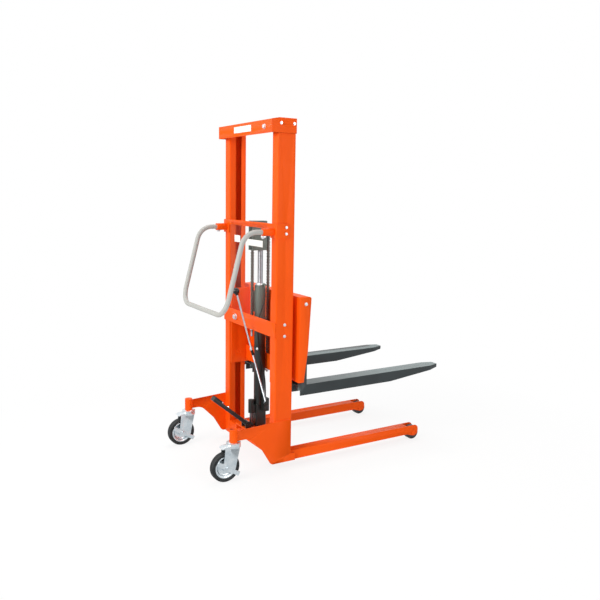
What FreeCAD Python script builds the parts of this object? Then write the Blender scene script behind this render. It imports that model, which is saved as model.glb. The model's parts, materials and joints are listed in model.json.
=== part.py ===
"""Hand pallet stacker: a pedal pumped ram lifts a fork carriage in a two post mast.

Millimetres, +Z up. While the pieces are drawn, X = 0 is the rear face of the posts, +X points along
the forks and +Y to the left of the operator. On export everything moves back by X_MID, so that the
origin is on the floor under the middle of the stacker.
"""
import FreeCAD, Part
import math
import os

V = FreeCAD.Vector
UP = V(0, 0, 1)
SIDES = {"left": 1, "right": -1}

# Mast posts, C sections that open inwards
POST_DEPTH = 101.7
POST_WIDTH = 56.6
POST_WALL = 5.0
POST_CORNER = 6.0
LIP_REAR = 38.2
LIP_FRONT = 28.1
MAST_HALF = 297.0
POST_FOOT_Z = 36.0
MAST_TOP_Z = 1778.6
SHEET = 4.8

# Cross members between the posts
TOP_BAR_DROP = 64.8
TOP_BAR_DEPTH = 36.7
TAB_RISE = 8.0
TAB_RISE_RUN = 44.0
CROSSBAR_PLATE = 6.0
MID_BAR_Z = 701.0
MID_BAR_HEIGHT = 79.0
HANDLE_BAR_Z = 1249.0
HANDLE_BAR_HEIGHT = 27.0
HANDLE_CHEEK_REACH = 66.0
HANDLE_CHEEK_DROP = 45.0
PANEL_THICKNESS = 4.0
PANEL_INSET = 28.0
PANEL_LAP = 20.0
BEAM_Z = 60.0
BEAM_HEIGHT = 50.0
BEAM_INSET = 2.0
BEAM_WALL = 6.0

# Push handle, one bent tube in two sockets
HANDLE_TUBE_R = 12.5
HANDLE_WALL = 2.5
SOCKET_DROP = 14.0
HANDLE_REACH = 163.0
HANDLE_BAR_X = -270.0
HANDLE_BAR_BOTTOM_Z = 826.0
HANDLE_BEND = 85.0
SOCKET_R = 19.0
SOCKET_LENGTH = 68.0
SOCKET_DEPTH = 60.0

# Straddle legs with a load roller at the front
LEG_INSET = 3.5
LEG_WIDTH = 58.1
LEG_HEIGHT = 49.5
LEG_Z = 37.4
LEG_WALL = 5.0
ROLLER_X = 947.0
LOAD_ROLLER_R = 40.0
LOAD_ROLLER_WIDTH = 40.0
ROLLER_AXLE_R = 10.0
AXLE_HEAD = 2.5
LEG_NOSE = 30.0
LEG_CHEEK_Z = 24.0
ROLLER_MOUTH = 12.0

# Side plates that carry the casters behind the posts
SIDE_PLATE_TOP = 262.0
SIDE_PLATE_DROP = 12.0
SIDE_PLATE_WEB_Z = 200.0
SIDE_PLATE_HEEL_X = -150.0
SIDE_PLATE_SWEEP = 60.0
SIDE_PLATE_KNEE_X = -72.0
SIDE_PLATE_KNEE_Z = 122.0
SIDE_PLATE_TOE_X = -20.0
SIDE_PLATE_TOE_R = 25.0
SIDE_PLATE_FOOT = 22.0
SIDE_PLATE_FOOT_HEIGHT = 40.0
CASTER_X = -231.0
CASTER_INSET = 5.6
CASTER_TUBE_R = 21.0
CASTER_TUBE_Z = 195.0
CASTER_TUBE_LENGTH = 66.0

# Swivel casters
CASTER_TRAIL = 48.0
WHEEL_R = 75.0
WHEEL_WIDTH = 36.0
TYRE_DEPTH = 19.0
RIM_FLANGE = 5.0
RIM_WEB = 4.0
HUB_R = 15.0
YOKE_SHEET = 3.5
YOKE_GAP = 2.0
CROWN_R = 36.0
CROWN_HEIGHT = 18.0
RACE_THICKNESS = 4.0
STEM_R = 12.0
KINGPIN_R = 8.0
KINGPIN_HEAD_R = 13.0
KINGPIN_HEAD = 6.0
CASTER_AXLE_R = 6.0
YOKE_BOSS_R = 18.0
YOKE_CORNER = 12.0
YOKE_SHOULDER = 54.0
YOKE_HOOD = 16.0
BRAKE_SHEET = 3.0
BRAKE_WIDTH = 22.0
BRAKE_SHOE_GAP = 5.0
BRAKE_TAIL = 60.0
BRAKE_SLOPE = 32.0

# Ram, crosshead and chain
RAM_X = 67.5
CYLINDER_R = 30.0
CYLINDER_BORE_R = 25.0
CYLINDER_TOP_Z = 933.0
CYLINDER_FLOOR = 11.0
GLAND_DEPTH = 23.0
GLAND_FLANGE = 12.0
GLAND_R = 26.0
ROD_R = 14.0
PISTON_Z = 462.0
PISTON_HEIGHT = 15.0
CROSSHEAD_Z = 1123.0
CROSSHEAD_HEIGHT = 156.0
CROSSHEAD_REAR_X = 8.0
CROSSHEAD_FRONT_X = 95.0
CROSSHEAD_GAP = 17.0
CROSSHEAD_PLATE = 8.0
CROSSHEAD_BLOCK = 14.0
SPROCKET_Z = 1195.0
SPROCKET_TEETH = 19
SPROCKET_HALF = 5.0
SPROCKET_HUB_R = 24.0
TOOTH_RISE = 4.0
SPROCKET_AXLE_R = 8.0
SPROCKET_AXLE_HEAD_R = 12.0
CHAIN_PITCH = 15.875
CHAIN_ROLLER_R = 5.08
CHAIN_PLATE_HEIGHT = 14.7
CHAIN_PLATE = 2.7
CHAIN_SIDE_GAP = 0.3
ANCHOR_BOLT_R = 6.0
ANCHOR_EYE = 18.0
ANCHOR_NUT = 10.0
ANCHOR_NUT_FLATS = 18.0
REAR_ANCHOR_DROP = 45.0
REAR_ANCHOR_LENGTH = 92.0
BRACKET_REACH = 32.0
BRACKET_HALF = 26.0
BRACKET_PLATE = 12.0
FRONT_ANCHOR_DROP = 11.0
FRONT_ANCHOR_LENGTH = 56.0
CLAMP_HEIGHT = 30.0
CLAMP_WALL = 4.0
RIB_HALF = 8.0
RIB_LIFT = 10.0
RIB_HEIGHT = 115.0
RIB_GAP = 1.5

# Pump, pedal and release valve
PUMP_SEAT_Z = 147.0
PUMP_HEIGHT = 125.0
PUMP_HALF = 29.0
PUMP_DEPTH = 59.0
PUMP_CORNER = 6.0
PEDESTAL_REAR_X = -30.0
PEDESTAL_HALF = 95.0
PEDESTAL_PLATE = 8.0
BARREL_X = 19.0
BARREL_R = 17.0
BARREL_Z = 225.0
BARREL_LENGTH = 73.0
BARREL_CAP = 6.0
PLUNGER_R = 9.0
PLUNGER_LENGTH = 103.0
PEDAL_X = -11.0
PEDAL_Z = 168.0
PEDAL_PIN_R = 6.0
PEDAL_HUB_R = 14.0
PEDAL_HALF = 18.0
PEDAL_BAR = 20.0
PEDAL_NECK = 10.0
PEDAL_LENGTH = 262.0
PEDAL_RISE = 40.0
PEDAL_NOSE_R = 8.0
PEDAL_NOSE_REACH = 30.0
PEDAL_NOSE_DROP = 18.0
PAD_LENGTH = 48.0
PAD_HALF = 21.0
PAD_THICKNESS = 7.0
EAR_SHEET = 6.0
EAR_GAP = 1.0
VALVE_DEPTH = 32.0
VALVE_WIDTH = 33.0
VALVE_Z = 240.0
VALVE_HEIGHT = 72.0
RELEASE_X = 72.8
RELEASE_Z = 290.0
RELEASE_ROD_R = 5.0
RELEASE_PIN_R = 5.0
RELEASE_EYE_R = 11.0
RELEASE_EYE = 11.0
KNOB_R = 17.5
KNOB_X = -110.0
KNOB_Z = 919.0
HOSE_R = 3.5
HOSE_SHARE = 0.45
FITTING_R = 5.0
FERRULE_R = 4.5

# Carriage, fork shaft and forks
CARRIAGE_PLATE = 8.0
CARRIAGE_GAP = 4.4
CARRIAGE_REAR_X = 6.0
CARRIAGE_Z = 457.0
CARRIAGE_HEIGHT = 433.0
WEB_X = 126.0
WEB_PLATE = 5.0
WEB_TOP_Z = 905.0
BEAM_FLANGE = 6.0
END_PLATE = 6.0
END_PLATE_TOP_X = 196.0
END_PLATE_CORNER = 12.0
END_PLATE_WAIST_X = 180.0
END_PLATE_WAIST_Z = 625.0
END_PLATE_FOOT_X = 158.0
CARRIAGE_OVERHANG = 23.3
CROSS_PLATE_X = 102.5
CROSS_PLATE = 4.5
CROSS_PLATE_HEIGHT = 88.0
SHELF_PLATE = 10.0
SHELF_HALF = 60.0
GUIDE_AXLE_R = 11.0
GUIDE_ROLLER_WIDTH = 37.0
GUIDE_ROLLER_PLAY = 0.5
GUIDE_LOW_Z = 520.0
GUIDE_HIGH_Z = 830.0
SHAFT_X = 163.0
SHAFT_Z = 868.0
SHAFT_R = 16.0
FORK_SIDE_GAP = 1.5
FORK_WIDTH = 89.3
FORK_WALL = 6.0
FORK_TOP_Z = 441.7
FORK_HEIGHT = 57.0
FORK_TIP_X = 1103.3
FORK_TIP_HEIGHT = 20.0
FORK_TIP_WIDTH = 46.0
FORK_TAPER_X = 740.0
FORK_NARROW_X = 1030.0
SHANK_FRONT_X = 181.0
SHANK_CLEARANCE = 0.5
SLEEVE_R = 24.0
SHANK_EYE_R = 29.5
HEEL_FLANGE = 16.8
HEEL_STEP = 17.0
HEEL_DEPTH = 26.0

# Fits and fasteners
RUNNING_FIT = 0.05
SEAT_FIT = 0.05
CLEARANCE = 0.3
BOLT_R = 5.0
BOLT_FLATS = 17.0
BOLT_HEAD = 7.0
NUT_FLATS = 30.0
NUT_HEIGHT = 10.0
SIDE_BOLT_X = 51.0
BOLT_SKIN = 1.0
MID_BOLT_LOW = 6.0
MID_BOLT_HIGH = 14.0
SOCKET_BOLT_LOW = 9.0
SOCKET_BOLT_HIGH = 23.0
TAB_BOLT_INSET = 14.0
BAR_BOLT_INSET = 71.0
BAR_NUT_Y = 150.0
SET_SCREW_INSET = 13.0
MARGIN = 5.0

# Derived places shared by several pieces
POST_INNER = MAST_HALF - POST_WIDTH
POST_MID_X = POST_DEPTH / 2
POST_MID_Y = MAST_HALF - POST_WIDTH / 2
POST_TOP_Z = MAST_TOP_Z - SHEET
SPROCKET_R = CHAIN_PITCH / (2 * math.sin(math.pi / SPROCKET_TEETH))
CHAIN_REAR_X = RAM_X - SPROCKET_R
CHAIN_FRONT_X = RAM_X + SPROCKET_R
CHAIN_HALF = SPROCKET_HALF + CHAIN_SIDE_GAP + CHAIN_PLATE
PANEL_HALF = POST_INNER - PANEL_INSET
HANDLE_Z = HANDLE_BAR_Z - SOCKET_DROP
CASTER_Y = MAST_HALF - CASTER_INSET
LEG_OUTER = MAST_HALF - LEG_INSET
LEG_INNER = LEG_OUTER - LEG_WIDTH
LEG_TOP_Z = LEG_Z + LEG_HEIGHT
CARRIAGE_HALF = MAST_HALF + CARRIAGE_OVERHANG
END_PLATE_INNER = CARRIAGE_HALF - END_PLATE
FORK_OUTER = END_PLATE_INNER - FORK_SIDE_GAP
FORK_INNER = FORK_OUTER - FORK_WIDTH
REAR_ANCHOR_Z = MID_BAR_Z - REAR_ANCHOR_DROP
FRONT_ANCHOR_Z = CARRIAGE_Z - FRONT_ANCHOR_DROP
FORK_HEEL_X = WEB_X
BEAM_TOP_Z = BEAM_Z + BEAM_HEIGHT
PUMP_TOP_Z = PUMP_SEAT_Z + PUMP_HEIGHT
PUMP_REAR_X = RAM_X - PUMP_DEPTH / 2
MID_BAR_TOP_Z = MID_BAR_Z + MID_BAR_HEIGHT
WHEEL_X = CASTER_X - CASTER_TRAIL
RIM_R = WHEEL_R - TYRE_DEPTH
BRAKE_SHOE_R = WHEEL_R + BRAKE_SHOE_GAP
CROWN_TOP_Z = CASTER_TUBE_Z - RACE_THICKNESS - CLEARANCE
CROWN_Z = CROWN_TOP_Z - CROWN_HEIGHT
YOKE_INNER = WHEEL_WIDTH / 2 + YOKE_GAP
YOKE_OUTER = YOKE_INNER + YOKE_SHEET
BRAKE_INNER = YOKE_OUTER + CLEARANCE
BRAKE_OUTER = BRAKE_INNER + BRAKE_SHEET
CARRIAGE_OUTER = POST_INNER - CARRIAGE_GAP
CARRIAGE_INNER = CARRIAGE_OUTER - CARRIAGE_PLATE
GUIDE_ROLLER_R = POST_DEPTH / 2 - POST_WALL - GUIDE_ROLLER_PLAY
GUIDE_ROLLER_Y = MAST_HALF - POST_WIDTH / 2 - GUIDE_ROLLER_WIDTH / 2
EAR_INNER = PEDAL_HALF + EAR_GAP
EAR_OUTER = EAR_INNER + EAR_SHEET
NOSE_ANGLE = math.radians(PEDAL_NOSE_DROP)
NOSE_X = PEDAL_X + PEDAL_NOSE_REACH * math.cos(NOSE_ANGLE)
NOSE_Z = PEDAL_Z - PEDAL_NOSE_REACH * math.sin(NOSE_ANGLE)
PLUNGER_Z = NOSE_Z + PEDAL_NOSE_R + CLEARANCE
VALVE_OUTER = PUMP_HALF + VALVE_WIDTH
RELEASE_Y = -(VALVE_OUTER + CLEARANCE + RELEASE_EYE / 2)
X_MID = (FORK_TIP_X + WHEEL_X - WHEEL_R) / 2

# Places of the bolts
MID_BOLT_ZS = (MID_BAR_Z + MID_BOLT_LOW, MID_BAR_TOP_Z - MID_BOLT_HIGH)
SOCKET_BOLT_ZS = (HANDLE_Z - SOCKET_BOLT_LOW, HANDLE_Z + SOCKET_BOLT_HIGH)
TAB_BOLT_XS = (TAB_BOLT_INSET, POST_DEPTH - TAB_BOLT_INSET)
TAB_BOLT_Z = MAST_TOP_Z - TOP_BAR_DROP / 2 + TAB_BOLT_INSET
BAR_BOLT_Y = BAR_BOLT_INSET - MAST_HALF
SET_SCREW_X = SET_SCREW_INSET - SOCKET_LENGTH

# The drain hose's route, from the gland's elbow down to the top of the release valve
HOSE_ROUTE = [
    V(74, -42, 925), V(74, -42, 905), V(76, -44, 875), V(60, -46, 823), V(36, -46, 762), V(30, -46, 690),
    V(36, -46, 610), V(54, -46, 530), V(72, -46, 455), V(82, -45, 380), V(82, -45, VALVE_Z + VALVE_HEIGHT),
]


def box(x0, x1, y0, y1, z0, z1):
    """A block between two corners."""
    return Part.makeBox(x1 - x0, y1 - y0, z1 - z0, V(x0, y0, z0))


def bar_x(y, z, radius, start, end):
    """A round bar along X."""
    return Part.makeCylinder(radius, end - start, V(start, y, z), V(1, 0, 0))


def bar_y(x, z, radius, start, end):
    """A round bar along Y."""
    return Part.makeCylinder(radius, end - start, V(x, start, z), V(0, 1, 0))


def bar_z(x, y, radius, start, end):
    """A round bar along Z."""
    return Part.makeCylinder(radius, end - start, V(x, y, start), UP)


def between(start, end, radius):
    """A round bar from one point to another."""
    run = end - start
    return Part.makeCylinder(radius, run.Length, start, run)


def mirrored(shape, side):
    """A shape drawn on the left, or its mirror image on the right."""
    if side == "left":
        return shape
    return shape.mirror(V(0, 0, 0), V(0, 1, 0))


def rounded_edges(points, radii, closed=False):
    """Straight runs through the points, joined by tangent arcs of the given radii."""
    count = len(points)
    corners = []
    for index, point in enumerate(points):
        radius = radii[index]
        if radius == 0 or (not closed and index in (0, count - 1)):
            corners.append((point, None, point))
            continue
        back = (points[index - 1] - point).normalize()
        ahead = (points[(index + 1) % count] - point).normalize()
        half = back.getAngle(ahead) / 2
        tangent = radius / math.tan(half)
        inward = (back + ahead).normalize()
        middle = point + inward * (radius / math.sin(half) - radius)
        corners.append((point + back * tangent, middle, point + ahead * tangent))
    edges = []
    last = count if closed else count - 1
    for index in range(count):
        arrive, middle, leave = corners[index]
        if middle is not None:
            edges.append(Part.Arc(arrive, middle, leave).toShape())
        if index < last:
            target = corners[(index + 1) % count][0]
            edges.append(Part.LineSegment(leave, target).toShape())
    return edges


def plate_xz(outline, y0, y1):
    """A plate whose outline lies in XZ: points with an optional corner radius, thick along Y."""
    points = [V(corner[0], y0, corner[1]) for corner in outline]
    radii = [corner[2] if len(corner) > 2 else 0 for corner in outline]
    face = Part.Face(Part.Wire(rounded_edges(points, radii, closed=True)))
    return face.extrude(V(0, y1 - y0, 0))


def plate_xy(outline, z0, z1):
    """A plate whose outline lies in XY, thick along Z."""
    points = [V(x, y, z0) for x, y in outline]
    face = Part.Face(Part.makePolygon(points + points[:1]))
    return face.extrude(V(0, 0, z1 - z0))


def tube_along(edges, radius):
    """A round tube swept along a path of tangent runs and arcs."""
    path = Part.Wire(edges)
    start = edges[0].Vertexes[0].Point
    heading = edges[0].tangentAt(edges[0].FirstParameter)
    circle = Part.Wire(Part.makeCircle(radius, start, heading))
    return path.makePipeShell([circle], True, False)


def hexagon(seat, direction, flats, height):
    """A hexagon head or nut that stands on its seat."""
    across = direction.cross(UP) if abs(direction.z) < 0.5 else V(1, 0, 0)
    across = across.normalize()
    upward = direction.cross(across)
    reach = flats / math.sqrt(3)
    corners = []
    for step in range(6):
        turn = math.radians(60 * step + 30)
        corners.append(seat + across * (reach * math.cos(turn)) + upward * (reach * math.sin(turn)))
    face = Part.Face(Part.makePolygon(corners + corners[:1]))
    return face.extrude(direction * height)


def shank(seat, direction, radius, length):
    """The round part of a bolt, from its seat into the metal."""
    return Part.makeCylinder(radius, length, seat, direction * -1)


def bolt(seat, direction, length):
    """A hexagon bolt whose head stands on its seat."""
    head = hexagon(seat, direction, BOLT_FLATS, BOLT_HEAD)
    return head.fuse(shank(seat, direction, BOLT_R, length)).removeSplitter()


def save(name, *solids):
    """Moves a piece to the part's own frame and writes it."""
    shape = solids[0] if len(solids) == 1 else Part.makeCompound(list(solids))
    shape = shape.copy()
    shape.translate(V(-X_MID, 0, 0))
    shape.exportStep("parts/" + name + ".step")
    state = "ok" if shape.isValid() else "BAD"
    print(name, len(shape.Solids), "solids", round(shape.Volume), "mm3", state)


def side_bolt_seats(side, lap=SHEET):
    """Bolts in the post's outer wall; those of the handle and the top bar pass a cheek that laps it."""
    sign = SIDES[side]
    seats = []
    grip = POST_WALL - BOLT_SKIN
    for z in MID_BOLT_ZS:
        seats.append((V(SIDE_BOLT_X, sign * MAST_HALF, z), grip))
    for z in SOCKET_BOLT_ZS:
        seats.append((V(SIDE_BOLT_X, sign * (MAST_HALF + lap), z), grip + lap))
    for x in TAB_BOLT_XS:
        seats.append((V(x, sign * (MAST_HALF + SHEET), TAB_BOLT_Z), grip + SHEET))
    return seats


def bolt_holes(shape, side, lap=SHEET):
    """Cuts the side bolts' holes: through a bar's cheeks, but blind in a post, whose track stays whole."""
    outward = V(0, SIDES[side], 0)
    for seat, length in side_bolt_seats(side, lap):
        shape = shape.cut(shank(seat, outward, BOLT_R + SEAT_FIT, length + SEAT_FIT))
    return shape


def frame_bolts():
    """Side bolts, the bolt and nut on the crossbars and the handle's set screws, one group."""
    solids = []
    for side, sign in SIDES.items():
        for seat, length in side_bolt_seats(side):
            solids.append(bolt(seat, V(0, sign, 0), length))
        socket = V(SET_SCREW_X, sign * POST_MID_Y, HANDLE_Z - SOCKET_R)
        solids.append(bolt(socket, V(0, 0, -1), SOCKET_R - HANDLE_TUBE_R))
    rearward = V(-1, 0, 0)
    solids.append(bolt(bar_bolt_seat(), rearward, SHEET))
    nut = hexagon(bar_nut_seat(), rearward, NUT_FLATS, NUT_HEIGHT)
    solids.append(nut.fuse(shank(bar_nut_seat(), rearward, BOLT_R, CROSSBAR_PLATE)).removeSplitter())
    return solids


def bar_bolt_seat():
    """Where the rear bolt of the top bar sits."""
    return V(-TOP_BAR_DEPTH, BAR_BOLT_Y, MAST_TOP_Z - TOP_BAR_DROP / 2)


def bar_nut_seat():
    """Where the large nut of the mid crossbar sits."""
    return V(-CROSSBAR_PLATE, BAR_NUT_Y, MID_BAR_Z + MID_BAR_HEIGHT / 2)


def mast_post(side):
    """A rolled C section; its slot faces the carriage."""
    outer = box(0, POST_DEPTH, POST_INNER, MAST_HALF, POST_FOOT_Z, POST_TOP_Z)
    corners = [edge for edge in outer.Edges if edge.tangentAt(edge.FirstParameter).cross(UP).Length < 0.1]
    outer = outer.makeFillet(POST_CORNER, corners)
    low = POST_FOOT_Z - MARGIN
    high = POST_TOP_Z + MARGIN
    front = POST_DEPTH - POST_WALL
    hollow = box(POST_WALL, front, POST_INNER + POST_WALL, MAST_HALF - POST_WALL, low, high)
    slot = box(LIP_REAR, POST_DEPTH - LIP_FRONT, POST_INNER - MARGIN, POST_MID_Y, low, high)
    return bolt_holes(mirrored(outer.cut(hollow).cut(slot), side), side, lap=0)


def mast_top_bar():
    """A folded tray over both posts: rear web, top plate and a cheek on each side."""
    half = MAST_HALF + SHEET
    bottom = MAST_TOP_Z - TOP_BAR_DROP
    rear = -TOP_BAR_DEPTH
    tray = box(rear, rear + SHEET, -half, half, bottom, MAST_TOP_Z)
    tray = tray.fuse(box(rear, POST_DEPTH, -half, half, POST_TOP_Z, MAST_TOP_Z))
    cheek_top = MAST_TOP_Z + TAB_RISE
    outline = [(rear, bottom), (POST_DEPTH, bottom), (POST_DEPTH, cheek_top)]
    outline += [(rear + TAB_RISE_RUN, cheek_top), (rear, MAST_TOP_Z)]
    cheek = plate_xz(outline, MAST_HALF, half)
    for side in SIDES:
        tray = tray.fuse(mirrored(cheek, side))
    tray = tray.removeSplitter()
    for side in SIDES:
        tray = bolt_holes(tray, side)
    return tray.cut(shank(bar_bolt_seat(), V(-1, 0, 0), BOLT_R + SEAT_FIT, SHEET + MARGIN))


def crossbar(z, height):
    """A flat bar across the rear faces of both posts."""
    return box(-CROSSBAR_PLATE, 0, -MAST_HALF, MAST_HALF, z, z + height)


def handle_crossbar():
    """The upper flat bar; its folded ends back the handle's sockets and lap the posts' sides."""
    top = HANDLE_BAR_Z + HANDLE_BAR_HEIGHT
    low = HANDLE_BAR_Z - HANDLE_CHEEK_DROP
    outer = MAST_HALF + SHEET
    bar = crossbar(HANDLE_BAR_Z, HANDLE_BAR_HEIGHT)
    back = box(-CROSSBAR_PLATE, 0, POST_INNER, outer, low, top)
    end = back.fuse(box(0, HANDLE_CHEEK_REACH, MAST_HALF, outer, low, top))
    for side in SIDES:
        bar = bar.fuse(mirrored(end, side))
    bar = bar.removeSplitter()
    for side in SIDES:
        bar = bolt_holes(bar, side)
    return bar


def mid_crossbar():
    """The crossbar behind the cylinder, with the bracket that anchors the chain."""
    bracket = box(0, BRACKET_REACH, -BRACKET_HALF, BRACKET_HALF, MID_BAR_Z, MID_BAR_Z + BRACKET_PLATE)
    bar = crossbar(MID_BAR_Z, MID_BAR_HEIGHT).fuse(bracket).removeSplitter()
    bar = bar.cut(bar_z(CHAIN_REAR_X, 0, ANCHOR_BOLT_R + CLEARANCE, MID_BAR_Z - MARGIN, MID_BAR_TOP_Z))
    return bar.cut(shank(bar_nut_seat(), V(-1, 0, 0), BOLT_R + SEAT_FIT, CROSSBAR_PLATE + MARGIN))


def guard_panel():
    """A clear sheet behind the chain, held by the two crossbars."""
    rear = -CROSSBAR_PLATE
    low = MID_BAR_TOP_Z - PANEL_LAP
    return box(rear - PANEL_THICKNESS, rear, -PANEL_HALF, PANEL_HALF, low, HANDLE_BAR_Z + PANEL_LAP)


def handle_sockets():
    """A short tube behind each end of the upper bar that takes an end of the handle."""
    solids = []
    for sign in SIDES.values():
        y = sign * POST_MID_Y
        socket = bar_x(y, HANDLE_Z, SOCKET_R, -SOCKET_LENGTH, -CROSSBAR_PLATE)
        socket = socket.cut(bar_x(y, HANDLE_Z, HANDLE_TUBE_R + SEAT_FIT, -SOCKET_LENGTH - MARGIN, MARGIN))
        seat = V(SET_SCREW_X, y, HANDLE_Z - SOCKET_R)
        solids.append(socket.cut(shank(seat, V(0, 0, -1), BOLT_R + SEAT_FIT, SOCKET_R)))
    return solids


def push_handle():
    """One bent tube: out of the left socket, down, across and back up to the right socket."""
    half = POST_MID_Y
    left = [V(-SOCKET_LENGTH + SOCKET_DEPTH, half, HANDLE_Z), V(-HANDLE_REACH, half, HANDLE_Z)]
    left.append(V(HANDLE_BAR_X, half, HANDLE_BAR_BOTTOM_Z))
    right = [V(point.x, -point.y, point.z) for point in reversed(left)]
    radii = [0] + [HANDLE_BEND] * 4 + [0]
    edges = rounded_edges(left + right, radii)
    outside = tube_along(edges, HANDLE_TUBE_R)
    return outside.cut(tube_along(edges, HANDLE_TUBE_R - HANDLE_WALL))


def side_plate(side):
    """A plate lapped on the post's outer face, with the caster's tube at its rear end."""
    web_rear = CASTER_X + CASTER_TUBE_R / 2
    front = POST_DEPTH - POST_CORNER
    toe = POST_DEPTH + SIDE_PLATE_FOOT
    foot_top = POST_FOOT_Z + SIDE_PLATE_FOOT_HEIGHT
    outline = [(toe, POST_FOOT_Z), (toe, foot_top), (front, foot_top), (front, SIDE_PLATE_TOP)]
    outline += [(0, SIDE_PLATE_TOP), (web_rear, SIDE_PLATE_TOP - SIDE_PLATE_DROP)]
    outline += [(web_rear, SIDE_PLATE_WEB_Z), (SIDE_PLATE_HEEL_X, SIDE_PLATE_WEB_Z, SIDE_PLATE_SWEEP)]
    outline.append((SIDE_PLATE_KNEE_X, SIDE_PLATE_KNEE_Z))
    outline.append((SIDE_PLATE_TOE_X, POST_FOOT_Z, SIDE_PLATE_TOE_R))
    plate = plate_xz(outline, MAST_HALF, MAST_HALF + SHEET)
    top = CASTER_TUBE_Z + CASTER_TUBE_LENGTH
    plate = plate.fuse(bar_z(CASTER_X, CASTER_Y, CASTER_TUBE_R, CASTER_TUBE_Z, top)).removeSplitter()
    plate = plate.cut(bar_z(CASTER_X, CASTER_Y, STEM_R + SEAT_FIT, CASTER_TUBE_Z, top - SHEET))
    return mirrored(plate, side)


def base_crossbeam():
    """The tube between the feet of the posts, with the pump's pedestal."""
    rear = BEAM_INSET
    front = POST_DEPTH - BEAM_INSET
    wall = BEAM_WALL
    beam = box(rear, front, -POST_INNER, POST_INNER, BEAM_Z, BEAM_TOP_Z)
    end = POST_INNER + MARGIN
    beam = beam.cut(box(rear + wall, front - wall, -end, end, BEAM_Z + wall, BEAM_TOP_Z - wall))
    half = PEDESTAL_HALF
    plate = PEDESTAL_PLATE
    beam = beam.fuse(box(PEDESTAL_REAR_X, front, -half, half, PUMP_SEAT_Z - plate, PUMP_SEAT_Z))
    cheek = box(PEDESTAL_REAR_X, front, half - plate, half, BEAM_TOP_Z, PUMP_SEAT_Z - plate)
    for side in SIDES:
        beam = beam.fuse(mirrored(cheek, side))
    return beam.removeSplitter()


def pedal_bracket():
    """Two ears on the pedestal that hold the pedal's pin."""
    reach = PEDAL_HUB_R + PEDAL_PIN_R / 2
    outline = [(PEDAL_X - reach, PUMP_SEAT_Z), (PEDAL_X + reach, PUMP_SEAT_Z)]
    top = PEDAL_Z + PEDAL_HUB_R
    outline += [(PEDAL_X + reach, top, PEDAL_HUB_R), (PEDAL_X - reach, top, PEDAL_HUB_R)]
    ear = plate_xz(outline, EAR_INNER, EAR_OUTER)
    ear = ear.cut(bar_y(PEDAL_X, PEDAL_Z, PEDAL_PIN_R + SEAT_FIT, 0, PEDESTAL_HALF))
    return [mirrored(ear, side) for side in SIDES]


def pedal_pin():
    """The pin through the ears that the pedal turns on."""
    return bar_y(PEDAL_X, PEDAL_Z, PEDAL_PIN_R, -EAR_OUTER - AXLE_HEAD, EAR_OUTER + AXLE_HEAD)


def leg(side):
    """A straddle leg: a tube from the post to two cheeks that hold the load roller."""
    nose = ROLLER_X + LEG_NOSE
    mouth = ROLLER_X - LOAD_ROLLER_R - ROLLER_MOUTH
    half = LEG_HEIGHT / 2
    outline = [(POST_DEPTH, LEG_Z), (mouth, LEG_Z), (ROLLER_X - LEG_WALL, LEG_CHEEK_Z, half)]
    outline += [(nose, LEG_CHEEK_Z, half), (nose, LEG_TOP_Z, half), (POST_DEPTH, LEG_TOP_Z)]
    tube = plate_xz(outline, LEG_INNER, LEG_OUTER)
    inner = LEG_INNER + LEG_WALL
    outer = LEG_OUTER - LEG_WALL
    tube = tube.cut(box(0, mouth - LEG_WALL, inner, outer, LEG_Z + LEG_WALL, LEG_TOP_Z - LEG_WALL))
    tube = tube.cut(box(mouth, nose + MARGIN, inner, outer, 0, LEG_TOP_Z + MARGIN))
    axle = bar_y(ROLLER_X, LOAD_ROLLER_R, ROLLER_AXLE_R + SEAT_FIT, 0, MAST_HALF)
    return mirrored(tube.cut(axle), side)


def roller_axle(side):
    """The pin of a load roller, headed at both ends."""
    pin = bar_y(ROLLER_X, LOAD_ROLLER_R, ROLLER_AXLE_R, LEG_INNER, LEG_OUTER)
    head_r = ROLLER_AXLE_R + LEG_WALL
    pin = pin.fuse(bar_y(ROLLER_X, LOAD_ROLLER_R, head_r, LEG_OUTER, LEG_OUTER + AXLE_HEAD))
    pin = pin.fuse(bar_y(ROLLER_X, LOAD_ROLLER_R, head_r, LEG_INNER - AXLE_HEAD, LEG_INNER))
    return mirrored(pin.removeSplitter(), side)


def load_roller(side):
    """A chamfered roller between the leg's cheeks."""
    middle = LEG_INNER + LEG_WIDTH / 2
    half = LOAD_ROLLER_WIDTH / 2
    roller = bar_y(ROLLER_X, LOAD_ROLLER_R, LOAD_ROLLER_R, middle - half, middle + half)
    roller = roller.makeChamfer(AXLE_HEAD, [edge for edge in roller.Edges if edge.Closed])
    bore = bar_y(ROLLER_X, LOAD_ROLLER_R, ROLLER_AXLE_R + RUNNING_FIT, 0, MAST_HALF)
    return mirrored(roller.cut(bore), side)


def caster_stem(side):
    """The fixed race under the tube, its stem in the tube and the kingpin that holds the yoke."""
    y = SIDES[side] * CASTER_Y
    stem_top = CASTER_TUBE_Z + CASTER_TUBE_LENGTH - SHEET - AXLE_HEAD
    race_z = CASTER_TUBE_Z - RACE_THICKNESS
    stem = bar_z(CASTER_X, y, STEM_R, CASTER_TUBE_Z, stem_top)
    stem = stem.fuse(bar_z(CASTER_X, y, CROWN_R, race_z, CASTER_TUBE_Z))
    head_top = CROWN_Z - CLEARANCE
    stem = stem.fuse(bar_z(CASTER_X, y, KINGPIN_R, head_top, race_z))
    stem = stem.fuse(bar_z(CASTER_X, y, KINGPIN_HEAD_R, head_top - KINGPIN_HEAD, head_top))
    return stem.removeSplitter()


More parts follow.
